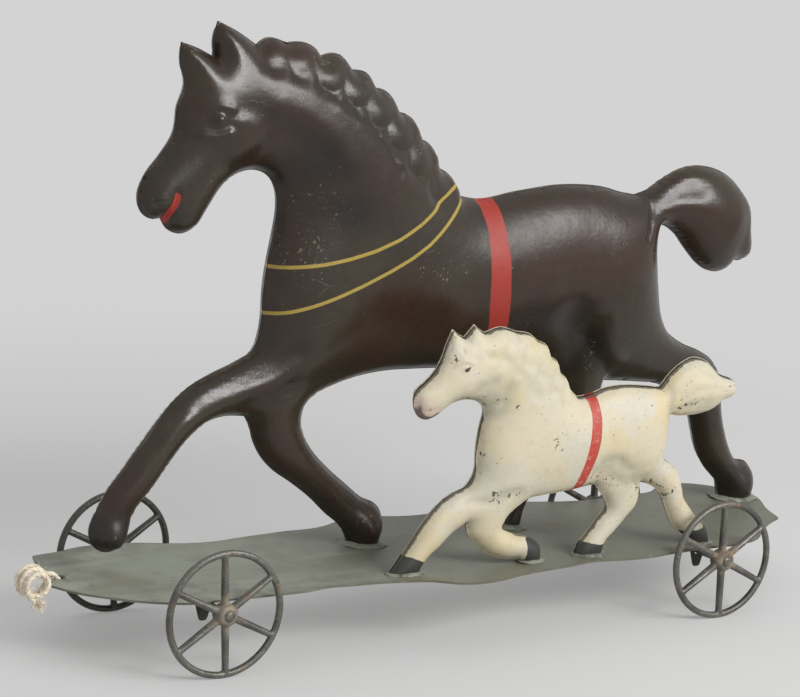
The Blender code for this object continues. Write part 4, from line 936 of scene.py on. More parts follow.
class Finish(Nodes):
    """A material, and the nodes that make it."""

    def __init__(self, name, constants=None):
        self.material = bpy.data.materials.new(name)
        self.material.use_nodes = True
        super().__init__(self.material.node_tree)
        self.shader = self.tree.nodes["Principled BSDF"]
        for socket, value in (constants or {}).items():
            self.shader.inputs[socket].default_value = value
        self.place = self.node("ShaderNodeTexCoord", output="Object")

    def attribute(self, name):
        return self.node("ShaderNodeAttribute", {"attribute_name": name}, output="Fac")

    def stretched(self, *scale):
        """The place of a point, stretched along the axes."""
        return self.node("ShaderNodeVectorMath", {"operation": "MULTIPLY"}, {0: self.place, 1: scale})

    def noise(self, scale, detail=4.0, rough=0.55, distortion=0.0, place=None):
        """Cloudy noise from 0 to 1, with scale in cells to a metre."""
        values = {
            "Vector": place or self.place,
            "Scale": scale,
            "Detail": detail,
            "Roughness": rough,
            "Distortion": distortion,
        }
        return self.node("ShaderNodeTexNoise", None, values)

    def cells(self, scale, feature="F1", place=None):
        """Distance from scattered points, or from the borders between them."""
        values = {"Vector": place or self.place, "Scale": scale}
        return self.node("ShaderNodeTexVoronoi", {"feature": feature}, values, "Distance")

    def step(self, value, low, high):
        """0 below low and 1 above high, or the other way round where low is the higher."""
        return self.node(
            "ShaderNodeMapRange",
            {"interpolation_type": "SMOOTHSTEP"},
            {"Value": value, "From Min": low, "From Max": high},
        )

    def blend(self, factor, first, second):
        """Two colours mixed."""
        return self.node("ShaderNodeMix", {"data_type": "RGBA"}, {0: factor, 6: first, 7: second}, 2)

    def paint(self, base, rough, metal, bump, distance, strength):
        """Lead what varies to the shader, with the bump's depth in metres."""
        self.join(base, self.shader.inputs["Base Color"])
        self.join(rough, self.shader.inputs["Roughness"])
        if metal is not None:
            self.join(metal, self.shader.inputs["Metallic"])
        values = {"Strength": strength, "Distance": distance, "Height": bump}
        self.join(self.node("ShaderNodeBump", None, values), self.shader.inputs["Normal"])
        return self.material


def darker(colour_value, share_left):
    return tuple(share_left * channel for channel in colour_value)


def japan_finish(look):
    """Dark varnish over pressed tin, with its painted harness, pits and scratches."""
    made = Finish("japanned_tin", {"IOR": 1.46})
    cloud = made.noise(20, 3, 0.5, 0.3)
    patch = made.noise(75, 5, 0.6, 0.4)
    fine = made.noise(330, 4, 0.65)
    grain = made.noise(1100, 2)
    worn_here = made.attribute("worn")
    base = made.blend(made.step(cloud, 0.40, 0.62), look.japan, look.red_japan)
    base = made.blend(made.step(made.noise(31, 4, 0.55), 0.50, 0.68) * 0.50, base, look.worn_japan)
    base = made.blend(made.step(patch, 0.54, 0.74) * 0.40, base, darker(look.japan, 0.5))
    base = made.blend(made.step(fine, 0.50, 0.72) * 0.25, base, look.worn_japan)
    # Painted shade: darker varnish in the hollows, low on the neck and in the grooves
    base = made.blend(made.attribute("soil_and_shade") * 0.85, base, darker(look.japan, 0.28))
    base = made.blend(made.attribute("groove") * 0.5, base, darker(look.japan, 0.3))
    hooves = made.step(made.attribute("hooves") + 1.6 * made.noise(160, 3) - 0.8, -0.6, 0.6)
    base = made.blend(hooves * 0.8, base, (0.016, 0.0120, 0.0095))
    # Painted harness, a little thin in places
    thin = made.step(made.noise(420, 5, 0.7), 0.58, 0.74)
    girth = made.step(made.attribute("girth") + 0.35 * made.noise(300, 2) - 0.17, -0.12, 0.12)
    base = made.blend(girth * (1 - 0.40 * thin), base, look.girth)
    mouth = made.step(made.attribute("mouth") + 0.5 * made.noise(500, 3) - 0.25, -0.15, 0.25)
    base = made.blend(mouth, base, look.girth)
    off_line = made.math("ABSOLUTE", made.attribute("reins"))
    reins = made.step(off_line, look.rein_width / MM / 2 + 0.14, look.rein_width / MM / 2 - 0.14)
    base = made.blend(reins * (1 - 0.50 * thin), base, look.reins)
    # Pits, specks and hair scratches, most of them in the rubbed places
    sparse = made.step(made.noise(45, 4, 0.6) + 0.22 * worn_here, 0.58, 0.72)
    speck = made.step(made.cells(230), 0.105, 0.060) * sparse
    pale = made.step(made.noise(700, 3, 0.6) + 0.09 * worn_here, 0.700, 0.735) * sparse
    along = made.cells(60, "DISTANCE_TO_EDGE", made.stretched(0.55, 1.0, 2.1))
    scratched = made.step(made.noise(55, 3, 0.5) + 0.20 * worn_here, 0.60, 0.74)
    broken = made.step(made.noise(210, 2), 0.50, 0.58)
    scratch = made.step(along, 0.009, 0.002) * scratched * broken
    worn = made.math("MAXIMUM", made.math("MAXIMUM", speck, pale), 0.6 * scratch) * look.wear
    base = made.blend(worn, base, (0.20, 0.17, 0.125))
    edge = made.step(made.attribute("edge") + 2.0 * made.noise(70, 3, 0.5) - 1.0, 0.30, -0.10)
    base = made.blend(edge * 0.5, base, (0.15, 0.120, 0.078))
    rough = 0.19 + 0.12 * patch + 0.30 * worn + 0.06 * fine + 0.14 * girth + 0.08 * worn_here
    dents = made.noise(140, 2, 0.5)
    pits = made.step(made.cells(330), 0.16, 0.06) * made.step(made.noise(90, 3), 0.48, 0.62)
    crazed = made.step(made.noise(50, 3), 0.44, 0.60)
    craze = made.step(made.cells(300, "DISTANCE_TO_EDGE"), 0.06, 0.0) * crazed
    swells = 0.12 * grain + 1.2 * dents + 0.45 * fine + 0.5 * patch
    bump = swells - 0.5 * worn - 0.35 * pits - 0.10 * craze
    return made.paint(base, rough, None, bump, 0.00028, 0.45)


def cream_finish(look):
    """Cream paint, yellowed, darkened in its hollows by dirt and painted shade, and chipped to dark tin.
    """
    made = Finish("cream_painted_tin", {"IOR": 1.45})
    cloud = made.noise(48, 4)
    patch = made.noise(190, 5, 0.6)
    fine = made.noise(620, 4, 0.65)
    grain = made.noise(1400, 2)
    worn_here = made.attribute("worn")
    red, green, blue = look.cream
    base = made.blend(made.step(cloud, 0.42, 0.64), look.cream, (red * 1.03, green * 0.97, blue * 0.82))
    cool = (red * 0.98, green * 1.01, blue * 1.12)
    base = made.blend(made.step(made.noise(70, 3), 0.48, 0.66), base, cool)
    green_patch = made.step(made.noise(34, 3, 0.5), 0.50, 0.68) * 0.6
    base = made.blend(green_patch, base, (red * 0.88, green * 0.93, blue * 0.95))
    base = made.blend(made.step(patch, 0.50, 0.72) * 0.40, base, darker(look.cream, 0.76))
    base = made.blend(made.step(fine, 0.54, 0.72) * 0.28, base, darker(look.cream, 0.62))
    # Dirt and painted shade: greyer in the grooves, and darker grey-green at the soiled and shaded places
    base = made.blend(made.attribute("groove") * 0.30, base, (red * 0.66, green * 0.68, blue * 0.66))
    soil_and_shade = made.attribute("soil_and_shade")
    base = made.blend(soil_and_shade * made.step(patch, 0.20, 0.55) * 0.8, base, (0.31, 0.305, 0.225))
    muzzle = made.step(made.attribute("muzzle"), -2.5, 1.5)
    base = made.blend(muzzle * 0.55, base, (0.47, 0.33, 0.29))
    girth = made.step(made.attribute("girth") + 0.3 * made.noise(420, 2) - 0.15, -0.12, 0.12)
    thin = made.step(made.noise(500, 5, 0.7), 0.50, 0.70)
    base = made.blend(girth * (1 - 0.45 * thin), base, look.small_girth)
    hooves = made.step(made.attribute("hooves") + 1.0 * made.noise(260, 3) - 0.5, -0.2, 0.2)
    base = made.blend(hooves, base, (0.032, 0.032, 0.029))
    eye = made.step(made.attribute("eye") + 0.3 * made.noise(900, 2) - 0.15, -0.20, 0.15)
    lips = made.step(made.attribute("lips") + 0.8 * made.noise(700, 3) - 0.4, -0.45, 0.25)
    base = made.blend(lips * 0.85, base, (0.105, 0.078, 0.075))
    base = made.blend(eye, base, (0.045, 0.030, 0.018))
    # Chips to the dark tin, most of them in the rubbed places
    sparse = made.step(made.noise(90, 3, 0.6) + 0.30 * worn_here, 0.58, 0.74)
    chip = made.step(made.noise(520, 4, 0.62) + 0.10 * worn_here, 0.660, 0.690) * sparse
    scattered = made.step(made.noise(150, 3) + 0.2 * worn_here, 0.50, 0.62)
    fleck = made.step(made.cells(420), 0.11, 0.07) * scattered
    edge = made.step(made.attribute("edge") + 0.9 * made.noise(260, 4, 0.6) - 0.45, 0.64, 0.30)
    worn = made.math("MINIMUM", made.math("MAXIMUM", chip, fleck) * look.wear * 1.8, 1.0)
    worn = made.math("MAXIMUM", worn, edge * 0.9)
    base = made.blend(worn, base, (0.052, 0.044, 0.033))
    rough = 0.44 + 0.16 * patch + 0.20 * worn
    dents = made.noise(230, 2, 0.5)
    bump = 0.35 * grain + 0.9 * dents + 0.7 * patch + 0.3 * fine - 1.3 * worn
    return made.paint(base, rough, None, bump, 0.00024, 0.5)


def iron_finish(look, name, rusty=0.5, lit_share=1.0, hubs=0.0):
    """Grey cast iron, wire or tin, with brown rust and tan dust, most of it round the hubs.

    The lit share is how light it is beside the near wheels, below 1 a painted shade, and hubs is how
    dusty its hubs are.
    """
    made = Finish(name)
    patch = made.noise(150, 5, 0.62, 0.3)
    fine = made.noise(1100, 4, 0.65)
    # Iron, rust and dust darkened by the lit share: painted shade
    iron = darker(look.iron, lit_share)
    base = made.blend(made.step(fine, 0.30, 0.75), darker(iron, 0.68), darker(iron, 1.20))
    base = made.blend(made.step(made.noise(70, 3, 0.5), 0.46, 0.60) * 0.7, base, darker(iron, 0.45))
    near_hub = hubs * made.step(made.attribute("reach") + 8.0 * made.noise(170, 3) - 4.0, 9.5, 4.5)
    rust = made.step(patch + 0.25 * fine + 0.08 * near_hub, 0.78 - 0.2 * rusty, 0.94 - 0.2 * rusty)
    base = made.blend(rust * 0.8, base, darker(look.rust, 0.5 + 0.5 * lit_share))
    pale = made.step(made.noise(330, 3) + 0.17 * near_hub, 0.56, 0.80)
    base = made.blend(pale * 0.75, base, darker(look.dust, 0.4 + 0.6 * lit_share))
    rough = 0.34 + 0.30 * rust + 0.1 * fine + 0.15 * near_hub
    metal = 0.55 - 0.5 * rust - 0.4 * near_hub
    return made.paint(base, rough, metal, 1.0 * fine + 0.8 * patch, 0.00025, 0.5)


def plate_finish(look):
    """Grey-green paint on thin tin, mottled, stained, darker towards the rear and rubbed through in
    spots.
    """
    made = Finish("platform_paint", {"IOR": 1.45})
    cloud = made.noise(22, 4, 0.55)
    patch = made.noise(80, 5, 0.6, 0.5)
    streak = made.noise(30, 4, 0.6, 0.2, made.stretched(0.35, 1.5, 1.0))
    grain = made.noise(800, 3)
    red, green, blue = look.plate
    base = made.blend(made.step(cloud, 0.38, 0.64), darker(look.plate, 0.82), darker(look.plate, 1.08))
    base = made.blend(made.step(streak, 0.46, 0.60) * 0.8, base, (red * 1.24, green * 1.22, blue * 1.26))
    base = made.blend(made.step(patch, 0.47, 0.34) * 0.60, base, darker(look.plate, 0.66))
    base = made.blend(made.step(patch, 0.55, 0.72) * 0.40, base, (red * 1.02, green * 1.13, blue * 1.10))
    # Darker towards the rear
    rear = made.node("ShaderNodeSeparateXYZ", None, {"Vector": made.place})
    darker_to_rear = made.step(rear + 0.10 * cloud - 0.05, -0.10, 0.08)
    base = made.blend(darker_to_rear * 0.85, base, (red * 0.62, green * 0.60, blue * 0.56))
    stain = made.step(made.noise(40, 3, 0.5), 0.55, 0.70)
    base = made.blend(stain * 0.50, base, (0.140, 0.120, 0.074))
    fleck = made.step(made.cells(240), 0.13, 0.07) * made.step(made.noise(60, 3), 0.52, 0.64)
    base = made.blend(fleck * 0.6, base, (0.42, 0.41, 0.34))
    spot = made.step(made.cells(170), 0.14, 0.08) * made.step(made.noise(50, 3, 0.5), 0.54, 0.62)
    base = made.blend(spot * 0.6, base, (0.060, 0.050, 0.034))
    edge = made.step(made.attribute("edge") + 2.4 * made.noise(150, 4, 0.6) - 1.2, 0.8, 0.0)
    base = made.blend(edge * 0.65, base, (0.085, 0.074, 0.050))
    rough = 0.34 + 0.24 * patch + 0.1 * grain
    return made.paint(base, rough, None, 0.5 * grain + 1.6 * patch + 1.4 * cloud, 0.00034, 0.5)


def solder_finish(look):
    """Dull solder with the platform's paint over most of its foot."""
    made = Finish("dull_solder", {"IOR": 1.45})
    patch = made.noise(240, 4, 0.6)
    fine = made.noise(1300, 3)
    base = made.blend(made.step(patch, 0.30, 0.52), look.solder, look.plate)
    base = made.blend(made.step(made.noise(160, 4, 0.6), 0.48, 0.66) * 0.7, base, (0.060, 0.050, 0.036))
    metal = 0.6 * made.step(patch, 0.44, 0.32)
    return made.paint(base, 0.38 + 0.25 * fine, metal, fine + patch, 0.0003, 0.6)


def cotton_finish(look):
    """Soiled cotton cord with fine fibres."""
    made = Finish("cotton_cord")
    dirt = made.noise(230, 3)
    fibre = made.noise(3600, 3, 0.6)
    base = made.blend(made.step(dirt, 0.40, 0.66) * 0.75, look.cotton, darker(look.cotton, 0.66))
    base = made.blend(made.step(fibre, 0.45, 0.70) * 0.35, base, (0.84, 0.77, 0.62))
    return made.paint(base, 0.9 + 0.05 * dirt, None, fibre, 0.00012, 0.7)


# Pieces

def make_camera():
    """The photograph's view: its turn, height and tilt, and a long lens."""
    turn = Matrix.Rotation(math.radians(CAMERA_TURN), 4, "Z")
    tilt = Matrix.Rotation(math.radians(90 - CAMERA_HEIGHT), 4, "X")
    roll = Matrix.Rotation(math.radians(CAMERA_ROLL), 4, "Z")
    aim = turn @ tilt @ roll
    data = bpy.data.cameras.new("camera")
    data.sensor_width = 36.0
    data.lens = CAMERA_LENS
    data.clip_start = 0.05
    data.clip_end = 50.0
    camera = bpy.data.objects.new("camera", data)
    bpy.context.scene.collection.objects.link(camera)
    target = Vector(CAMERA_TARGET) * MM
    camera.matrix_world = Matrix.Translation(target + aim.col[2].xyz * CAMERA_DISTANCE) @ aim
    bpy.context.scene.camera = camera


def add_softbox(side, power):
    place, width, height, aimed_at = SOFTBOXES[side]
    name = f"{side}_softbox"
    data = bpy.data.lights.new(name, "AREA")
    data.shape = "RECTANGLE"
    data.size = width
    data.size_y = height
    data.energy = power
    lamp = bpy.data.objects.new(name, data)
    bpy.context.scene.collection.objects.link(lamp)
    aim = (Vector(place) - Vector((0.0, 0.0, aimed_at))).to_track_quat("Z", "Y")
    lamp.matrix_world = Matrix.Translation(place) @ aim.to_matrix().to_4x4()


def make_stage(look):
    """A floor that turns into the backdrop away from the toy, the even room light and the lamps."""
    scene = bpy.context.scene
    scene.view_settings.view_transform = "Standard"
    made = Finish("pale_floor", {"Roughness": 0.8, "Base Color": (*look.floor, 1.0)})
    flat = made.stretched(1.0, 1.0, 0.0)
    away = made.node("ShaderNodeVectorMath", {"operation": "LENGTH"}, {0: flat}, "Value")
    far = made.step(away, 0.20, 0.62)
    factor = (look.floor_glow + (1 - look.floor_glow) * far) * made.shown_rays()
    glow = made.node("ShaderNodeEmission", None, {"Color": look.backdrop})
    near = Value(made, made.shader.outputs[0])
    mixed = made.node("ShaderNodeMixShader", None, {0: factor, 1: near, 2: glow})
    made.join(mixed, made.tree.nodes["Material Output"].inputs["Surface"])
    shape = bmesh.new()
    bmesh.ops.create_grid(shape, x_segments=8, y_segments=8, size=12.0)
    floor = bpy.data.objects.new("floor", mesh_of(shape, "floor"))
    floor.data.materials.append(made.material)
    scene.collection.objects.link(floor)

    world = bpy.data.worlds.new("studio")
    scene.world = world
    world.use_nodes = True
    studio = Nodes(world.node_tree)
    plain = studio.tree.nodes["Background"]
    studio.join((1.0, 1.0, 1.0), plain.inputs["Color"])
    studio.join(look.room_light, plain.inputs["Strength"])
    room = Value(studio, plain.outputs[0])
    backdrop = studio.node("ShaderNodeBackground", None, {"Color": look.backdrop})
    mixed = studio.node("ShaderNodeMixShader", None, {0: studio.shown_rays(), 1: room, 2: backdrop})
    studio.join(mixed, studio.tree.nodes["World Output"].inputs["Surface"])

    add_softbox("side", look.side_power)
    add_softbox("front", look.front_power)
    add_softbox("overhead", look.overhead_power)


def knot_place(along, up, out):
    x, y, above = KNOT_SPOT
    facing = Matrix.Rotation(math.radians(KNOT_FACING), 3, "Z")
    return Vector((x, y, PLATE_TOP + above)) + facing @ Vector((along, -out, up))


def string_route():
    """The CAD's own points: up through the hole, round the knot's turns, and a short end."""
    hole = Vector((*STRING_HOLE, PLATE_TOP))
    route = [hole + Vector(offset) for offset in STRING_LEAD]
    for index in range(KNOT_POINTS + 1):
        turned = index / KNOT_POINTS_PER_TURN
        angle = math.radians(KNOT_START) + 2 * math.pi * turned
        radius, along, up = (np.interp(turned, range(3), values) for values in zip(*KNOT_TURNS))
        along += radius * math.cos(angle)
        up += radius * math.sin(angle)
        route.append(knot_place(along, up, KNOT_PITCH * (turned - 1)))
    route += [knot_place(*place) for place in STRING_END]
    end = np.array(route[-1:])
    return np.concatenate([smooth_run(route, ROUTE_STEP), end]) * MM


def sweep(shape, path, section, twist):
    """Draw a closed ring of edges along a path, turning it evenly by twist radians to a metre."""
    directions = np.gradient(path, axis=0)
    frames = []
    turn = Vector(directions[0]).to_track_quat("Z", "X").to_matrix().to_4x4()
    for index, direction in enumerate(directions):
        if index:
            before = Vector(directions[index - 1])
            turn = before.rotation_difference(Vector(direction)).to_matrix().to_4x4() @ turn
            step = np.linalg.norm(path[index] - path[index - 1])
            turn = turn @ Matrix.Rotation(twist * step, 4, "Z")
        frames.append(Matrix.Translation(path[index]) @ turn)
    verts = {vert for edge in section for vert in edge.verts}
    bmesh.ops.transform(shape, matrix=frames[0], verts=list(verts))
    ends = [section]
    for before, frame_here in zip(frames, frames[1:]):
        result = bmesh.ops.extrude_edge_only(shape, edges=section)
        section = [part for part in result["geom"] if isinstance(part, bmesh.types.BMEdge)
                   and not part.link_faces[1:]]
        moved = {vert for edge in section for vert in edge.verts}
        bmesh.ops.transform(shape, matrix=frame_here @ before.inverted(), verts=list(moved))
    ends.append(section)
    for loop in ends:
        bmesh.ops.edgeloop_fill(shape, edges=loop)


def make_cord(look, path, cotton):
    """The string itself: three twisted strands, drawn along its route."""
    shape = bmesh.new()
    ring = bmesh.ops.create_circle(
        shape, cap_ends=False, segments=STRING_SIDES, radius=look.diameter / 2
    )["verts"]
    for vert in ring:
        angle = math.atan2(vert.co.y, vert.co.x)
        vert.co *= 1 - STRAND_DEPTH + STRAND_DEPTH * math.cos(3 * angle)
    section = list({edge for vert in ring for edge in vert.link_edges})
    sweep(shape, path, section, 2 * math.pi / look.twist)
    bmesh.ops.recalc_face_normals(shape, faces=shape.faces)
    name = "pull_string_cord"
    mesh = mesh_of(shape, name, 70)
    return add_piece(name, mesh, cotton, "toy_body", "cotton_string", "pull_string")


def fibre_points(look, path, draw, loose):
    """A bent fibre from the string's loose end, or from anywhere along it and over the knot."""
    last = len(path) - 1
    directions = np.gradient(path, axis=0)
    middle = knot_place(0.0, 0.0, 0.0) * MM
    kind = END_FIBRES if loose else FUZZ_FIBRES
    spot = last - draw.randrange(4) if loose else draw.randrange(FUZZ_START, last)
    along = Vector(directions[spot]).normalized()
    aside = Vector([draw.uniform(-1, 1) for _ in range(3)]).normalized()
    start = Vector(path[spot]) + aside * kind["start"] * look.diameter / 2
    heading = (along * kind["along"] + aside * FIBRE_SPREAD).normalized()
    if not loose:
        lean = draw.uniform(0.0, FUZZ_LEAN)
        heading = (heading + lean * (middle - start).normalized()).normalized()
    reach = draw.uniform(*kind["reach"]) * MM
    points = [start]
    for _ in range(FIBRE_JOINTS):
        bend = Vector([draw.uniform(-FIBRE_CURL, FIBRE_CURL) for _ in range(3)])
        heading = (heading + bend).normalized()
        points.append(points[-1] + heading * reach / FIBRE_JOINTS)
    return np.array(points)


def make_fibres(look, path, cotton):
    """The fluff at the string's end and the fuzz along it."""
    draw = random.Random(7)
    shape = bmesh.new()
    spun = bpy.data.meshes.new("spun")
    for index in range(look.fibres + look.fuzz):
        loose = index < look.fibres
        points = fibre_points(look, path, draw, loose)
        radius = (END_FIBRES if loose else FUZZ_FIBRES)["radius"] * MM
        fibre = bmesh.new()
        ring = bmesh.ops.create_circle(fibre, cap_ends=False, segments=4, radius=radius)["verts"]
        section = list({edge for vert in ring for edge in vert.link_edges})
        sweep(fibre, points, section, 0.0)
        fibre.to_mesh(spun)
        fibre.free()
        shape.from_mesh(spun)
    bpy.data.meshes.remove(spun)
    bmesh.ops.recalc_face_normals(shape, faces=shape.faces)
    name = "pull_string_fray"
    return add_piece(name, mesh_of(shape, name, 70), cotton, "toy_body", "cotton_string")


def make_string(look):
    cotton = cotton_finish(look)
    path = string_route()
    string = make_cord(look, path, cotton)
    fray = make_fibres(look, path, cotton)


def make_platform(look):
    outline = closed_outline(PLATFORM_OUTLINE, 2.0)
    shape = outline_sheet(outline, (0.3, 0.7, 1.2), 6.0)
    points = np.array([(vert.co.x, vert.co.y) for vert in shape.verts])
    edge = line_distance(points, np.concatenate([outline, outline[:1]]))
    store(shape, "edge", edge)
    bend = look.plate_wave / MM
    for vert, inward in zip(shape.verts, edge):
        # Slow swells with a ripple across them, and an edge that is bent here and there
        x, y = vert.co.x, vert.co.y
        wave = math.sin(x / 23.0 + 1.0) * math.sin(y / 17.0 + 0.5)
        wave += 0.6 * math.sin(x / 9.0 + y / 13.0)
        lip = math.exp(-inward / 4.0) * noise.noise(Vector((x / 16.0, y / 16.0, 0.3)))
        vert.co.z = PLATE_TOP + bend * (0.5 * wave - 0.5) + bend * lip
    bmesh.ops.solidify(shape, geom=shape.faces[:], thickness=PLATE_TIN)
    bmesh.ops.scale(shape, vec=(MM, MM, MM), verts=shape.verts)
    mesh = mesh_of(shape, "platform_sheet")
    middle = Vector((*STRING_HOLE, PLATE_TOP)) * MM
    mesh = drill(mesh, STRING_HOLE_RADIUS * MM, 6 * PLATE_TIN * MM, Matrix.Translation(middle))
    add_piece("platform_sheet", mesh, plate_finish(look), "toy_body", "grey_green_paint", "platform")


def make_brackets(look):
    # The brackets' tin is darkened to about a third: painted shade under the platform
    tin = iron_finish(look, "bracket_tin", 0.35, 0.35)
    strip_top = PLATE_TOP - PLATE_TIN - GAP - look.plate_wave / MM
    tip = WHEEL_RADIUS - EAR_BELOW_AXLE
    half = BRACKET_SPAN / 2
    path = [(-half, tip + above, width) for above, width in EAR_TIP]
    path.append((-half, WHEEL_RADIUS, EAR_WIDTH))
    for index in range(6):
        angle = math.radians(90 * index / 5)
        inward = BRACKET_BEND * (1 - math.cos(angle))
        below = BRACKET_BEND * (1 - math.sin(angle))
        path.append((-half + inward, strip_top - below, BRACKET_WIDTH))
    path += [(-y, z, width) for y, z, width in reversed(path)]
    for end, axle_x in AXLE_X.items():
        shape = bmesh.new()
        y, z, width = path[0]
        corners = [shape.verts.new((axle_x + side * width / 2, y, z)) for side in (-1, 1)]
        edge = shape.edges.new(corners)
        for y, z, width in path[1:]:
            result = bmesh.ops.extrude_edge_only(shape, edges=[edge])
            fresh = [part for part in result["geom"] if isinstance(part, bmesh.types.BMVert)]
            edge = next(part for part in result["geom"] if isinstance(part, bmesh.types.BMEdge)
                        and set(part.verts) == set(fresh))
            for vert in fresh:
                side = 1 if vert.co.x > axle_x else -1
                vert.co = (axle_x + side * width / 2, y, z)
        bmesh.ops.recalc_face_normals(shape, faces=shape.faces)
        middle_face = max(shape.faces, key=lambda face: face.calc_area())
        if middle_face.normal.z < 0:
            bmesh.ops.reverse_faces(shape, faces=shape.faces)
        bmesh.ops.solidify(shape, geom=shape.faces[:], thickness=BRACKET_TIN)
        bmesh.ops.scale(shape, vec=(MM, MM, MM), verts=shape.verts)
        place = Matrix.Translation(Vector((axle_x, 0, WHEEL_RADIUS)) * MM)
        axle = place @ Matrix.Rotation(math.pi / 2, 4, "X")
        mesh = drill(mesh_of(shape, "bracket"), (AXLE_RADIUS + GAP) * MM, 2 * BRACKET_SPAN * MM, axle)
        rounded = {"width": 0.12 * MM, "segments": 2, "limit_method": "ANGLE"}
        mesh = apply_modifiers(mesh, ("BEVEL", rounded))
        name = f"{end}_bracket_strip"
        add_piece(name, mesh, tin, "toy_body", "bracket_tin", f"{end}_axle_bracket")


def make_axles(look):
    wire = iron_finish(look, "axle_wire", 0.8)
    half = TRACK / 2 + HUB_LENGTH / 2 + AXLE_PROUD
    dome = [(radius, half - inward) for radius, inward in AXLE_END]
    profile = dome + [(radius, -height) for radius, height in reversed(dome)]
    for end, axle_x in AXLE_X.items():
        shape = bmesh.new()
        spin_profile(shape, profile, 32, closed=False)
        place = Matrix.Translation((axle_x, 0.0, WHEEL_RADIUS)) @ Matrix.Rotation(math.pi / 2, 4, "X")
        bmesh.ops.transform(shape, matrix=Matrix.Scale(MM, 4) @ place, verts=shape.verts)
        name = f"{end}_axle_rod"
        add_piece(name, mesh_of(shape, name), wire, f"{end}_wheelset", "axle_wire", f"{end}_axle")


def make_wheels(look):
    # The far wheels take a darker copy of the iron: painted shade
    iron = {
        "left": iron_finish(look, "cast_iron_near", 0.5, 1.0, 1.0),
        "right": iron_finish(look, "cast_iron_far_shaded", 0.4, 0.5, 0.6),
    }
    half = RIM_WIDTH / 2
    inner = WHEEL_RADIUS - RIM_DEPTH
    rim = mirrored([
        (inner, half - RIM_BEVEL),
        (inner + RIM_BEVEL, half),
        (WHEEL_RADIUS - RIM_BEVEL, half),
        (WHEEL_RADIUS, half - RIM_BEVEL),
    ])
    bore = AXLE_RADIUS + HUB_BORE_GAP
    shoulders = [(HUB_RADIUS - inside, HUB_LENGTH / 2 - down) for inside, down in HUB_SHOULDERS]
    hub = mirrored([(bore, HUB_LENGTH / 2)] + shoulders)
    spoke_start = bore + SPOKE_SUNK_IN_HUB
    spoke_end = inner + SPOKE_SUNK_IN_RIM * RIM_DEPTH
    spoke_middle = Matrix.Translation(((spoke_start + spoke_end) / 2, 0, 0))
    for end, axle_x in AXLE_X.items():
        shape = bmesh.new()
        spin_profile(shape, rim, 112, closed=True)
        spin_profile(shape, hub, 40, closed=True)
        for index in range(SPOKES):
            angle = 2 * math.pi * index / SPOKES + math.radians(SPOKE_LEANS[end])
            out = Matrix.Rotation(angle, 4, "Z") @ spoke_middle
            broad = Matrix.Diagonal((SPOKE_BREADTH, 1.0, 1.0, 1.0))
            bmesh.ops.create_cone(
                shape,
                cap_ends=True,
                segments=12,
                radius1=SPOKE_RADIUS_AT_HUB,
                radius2=SPOKE_RADIUS_AT_RIM,
                depth=spoke_end - spoke_start,
                matrix=out @ Matrix.Rotation(math.pi / 2, 4, "Y") @ broad,
            )
        stand = Matrix.Rotation(math.pi / 2, 4, "Y") @ Matrix.Rotation(math.pi / 2, 4, "X")
        bmesh.ops.transform(shape, matrix=Matrix.Scale(MM, 4) @ stand, verts=shape.verts)
        cast = apply_modifiers(
            mesh_of(shape, "wheel"),
            ("REMESH", {"mode": "VOXEL", "voxel_size": look.casting_grain}),
            ("SMOOTH", {"factor": 0.5, "iterations": 6}),
        )
        reach = cast.attributes.new("reach", "FLOAT", "POINT")
        reach.data.foreach_set("value", [math.hypot(vert.co.x, vert.co.z) / MM for vert in cast.vertices])
        for side, sign in (("left", -1), ("right", 1)):
            mesh = cast.copy()
            mesh.transform(Matrix.Translation(Vector((axle_x, sign * TRACK / 2, WHEEL_RADIUS)) * MM))
            mesh.shade_smooth()
            name = f"{end}_{side}_wheel"
            add_piece(name + "_casting", mesh, iron[side], f"{end}_wheelset", "cast_iron", name)


def on_platform(horse):
    """Metres on the platform, from millimetres from the horse's place."""
    turned = Matrix.Rotation(math.radians(horse["turn"]), 4, "Z")
    return Matrix.Scale(MM, 4) @ (Matrix.Translation((*horse["place"], PLATE_TOP)) @ turned)


def cut_off(shape, height, axis):
    """Cut away what is lower than a height along an axis, and give the cut edges."""
    place = Vector((0, 0, 0))
    place[axis] = height
    downward = Vector((0, 0, 0))
    downward[axis] = -1.0
    cut = bmesh.ops.bisect_plane(
        shape,
        geom=everything(shape),
        dist=1e-5,
        plane_co=place,
        plane_no=downward,
        clear_outer=True,
    )
    return [part for part in cut["geom_cut"] if isinstance(part, bmesh.types.BMEdge)]


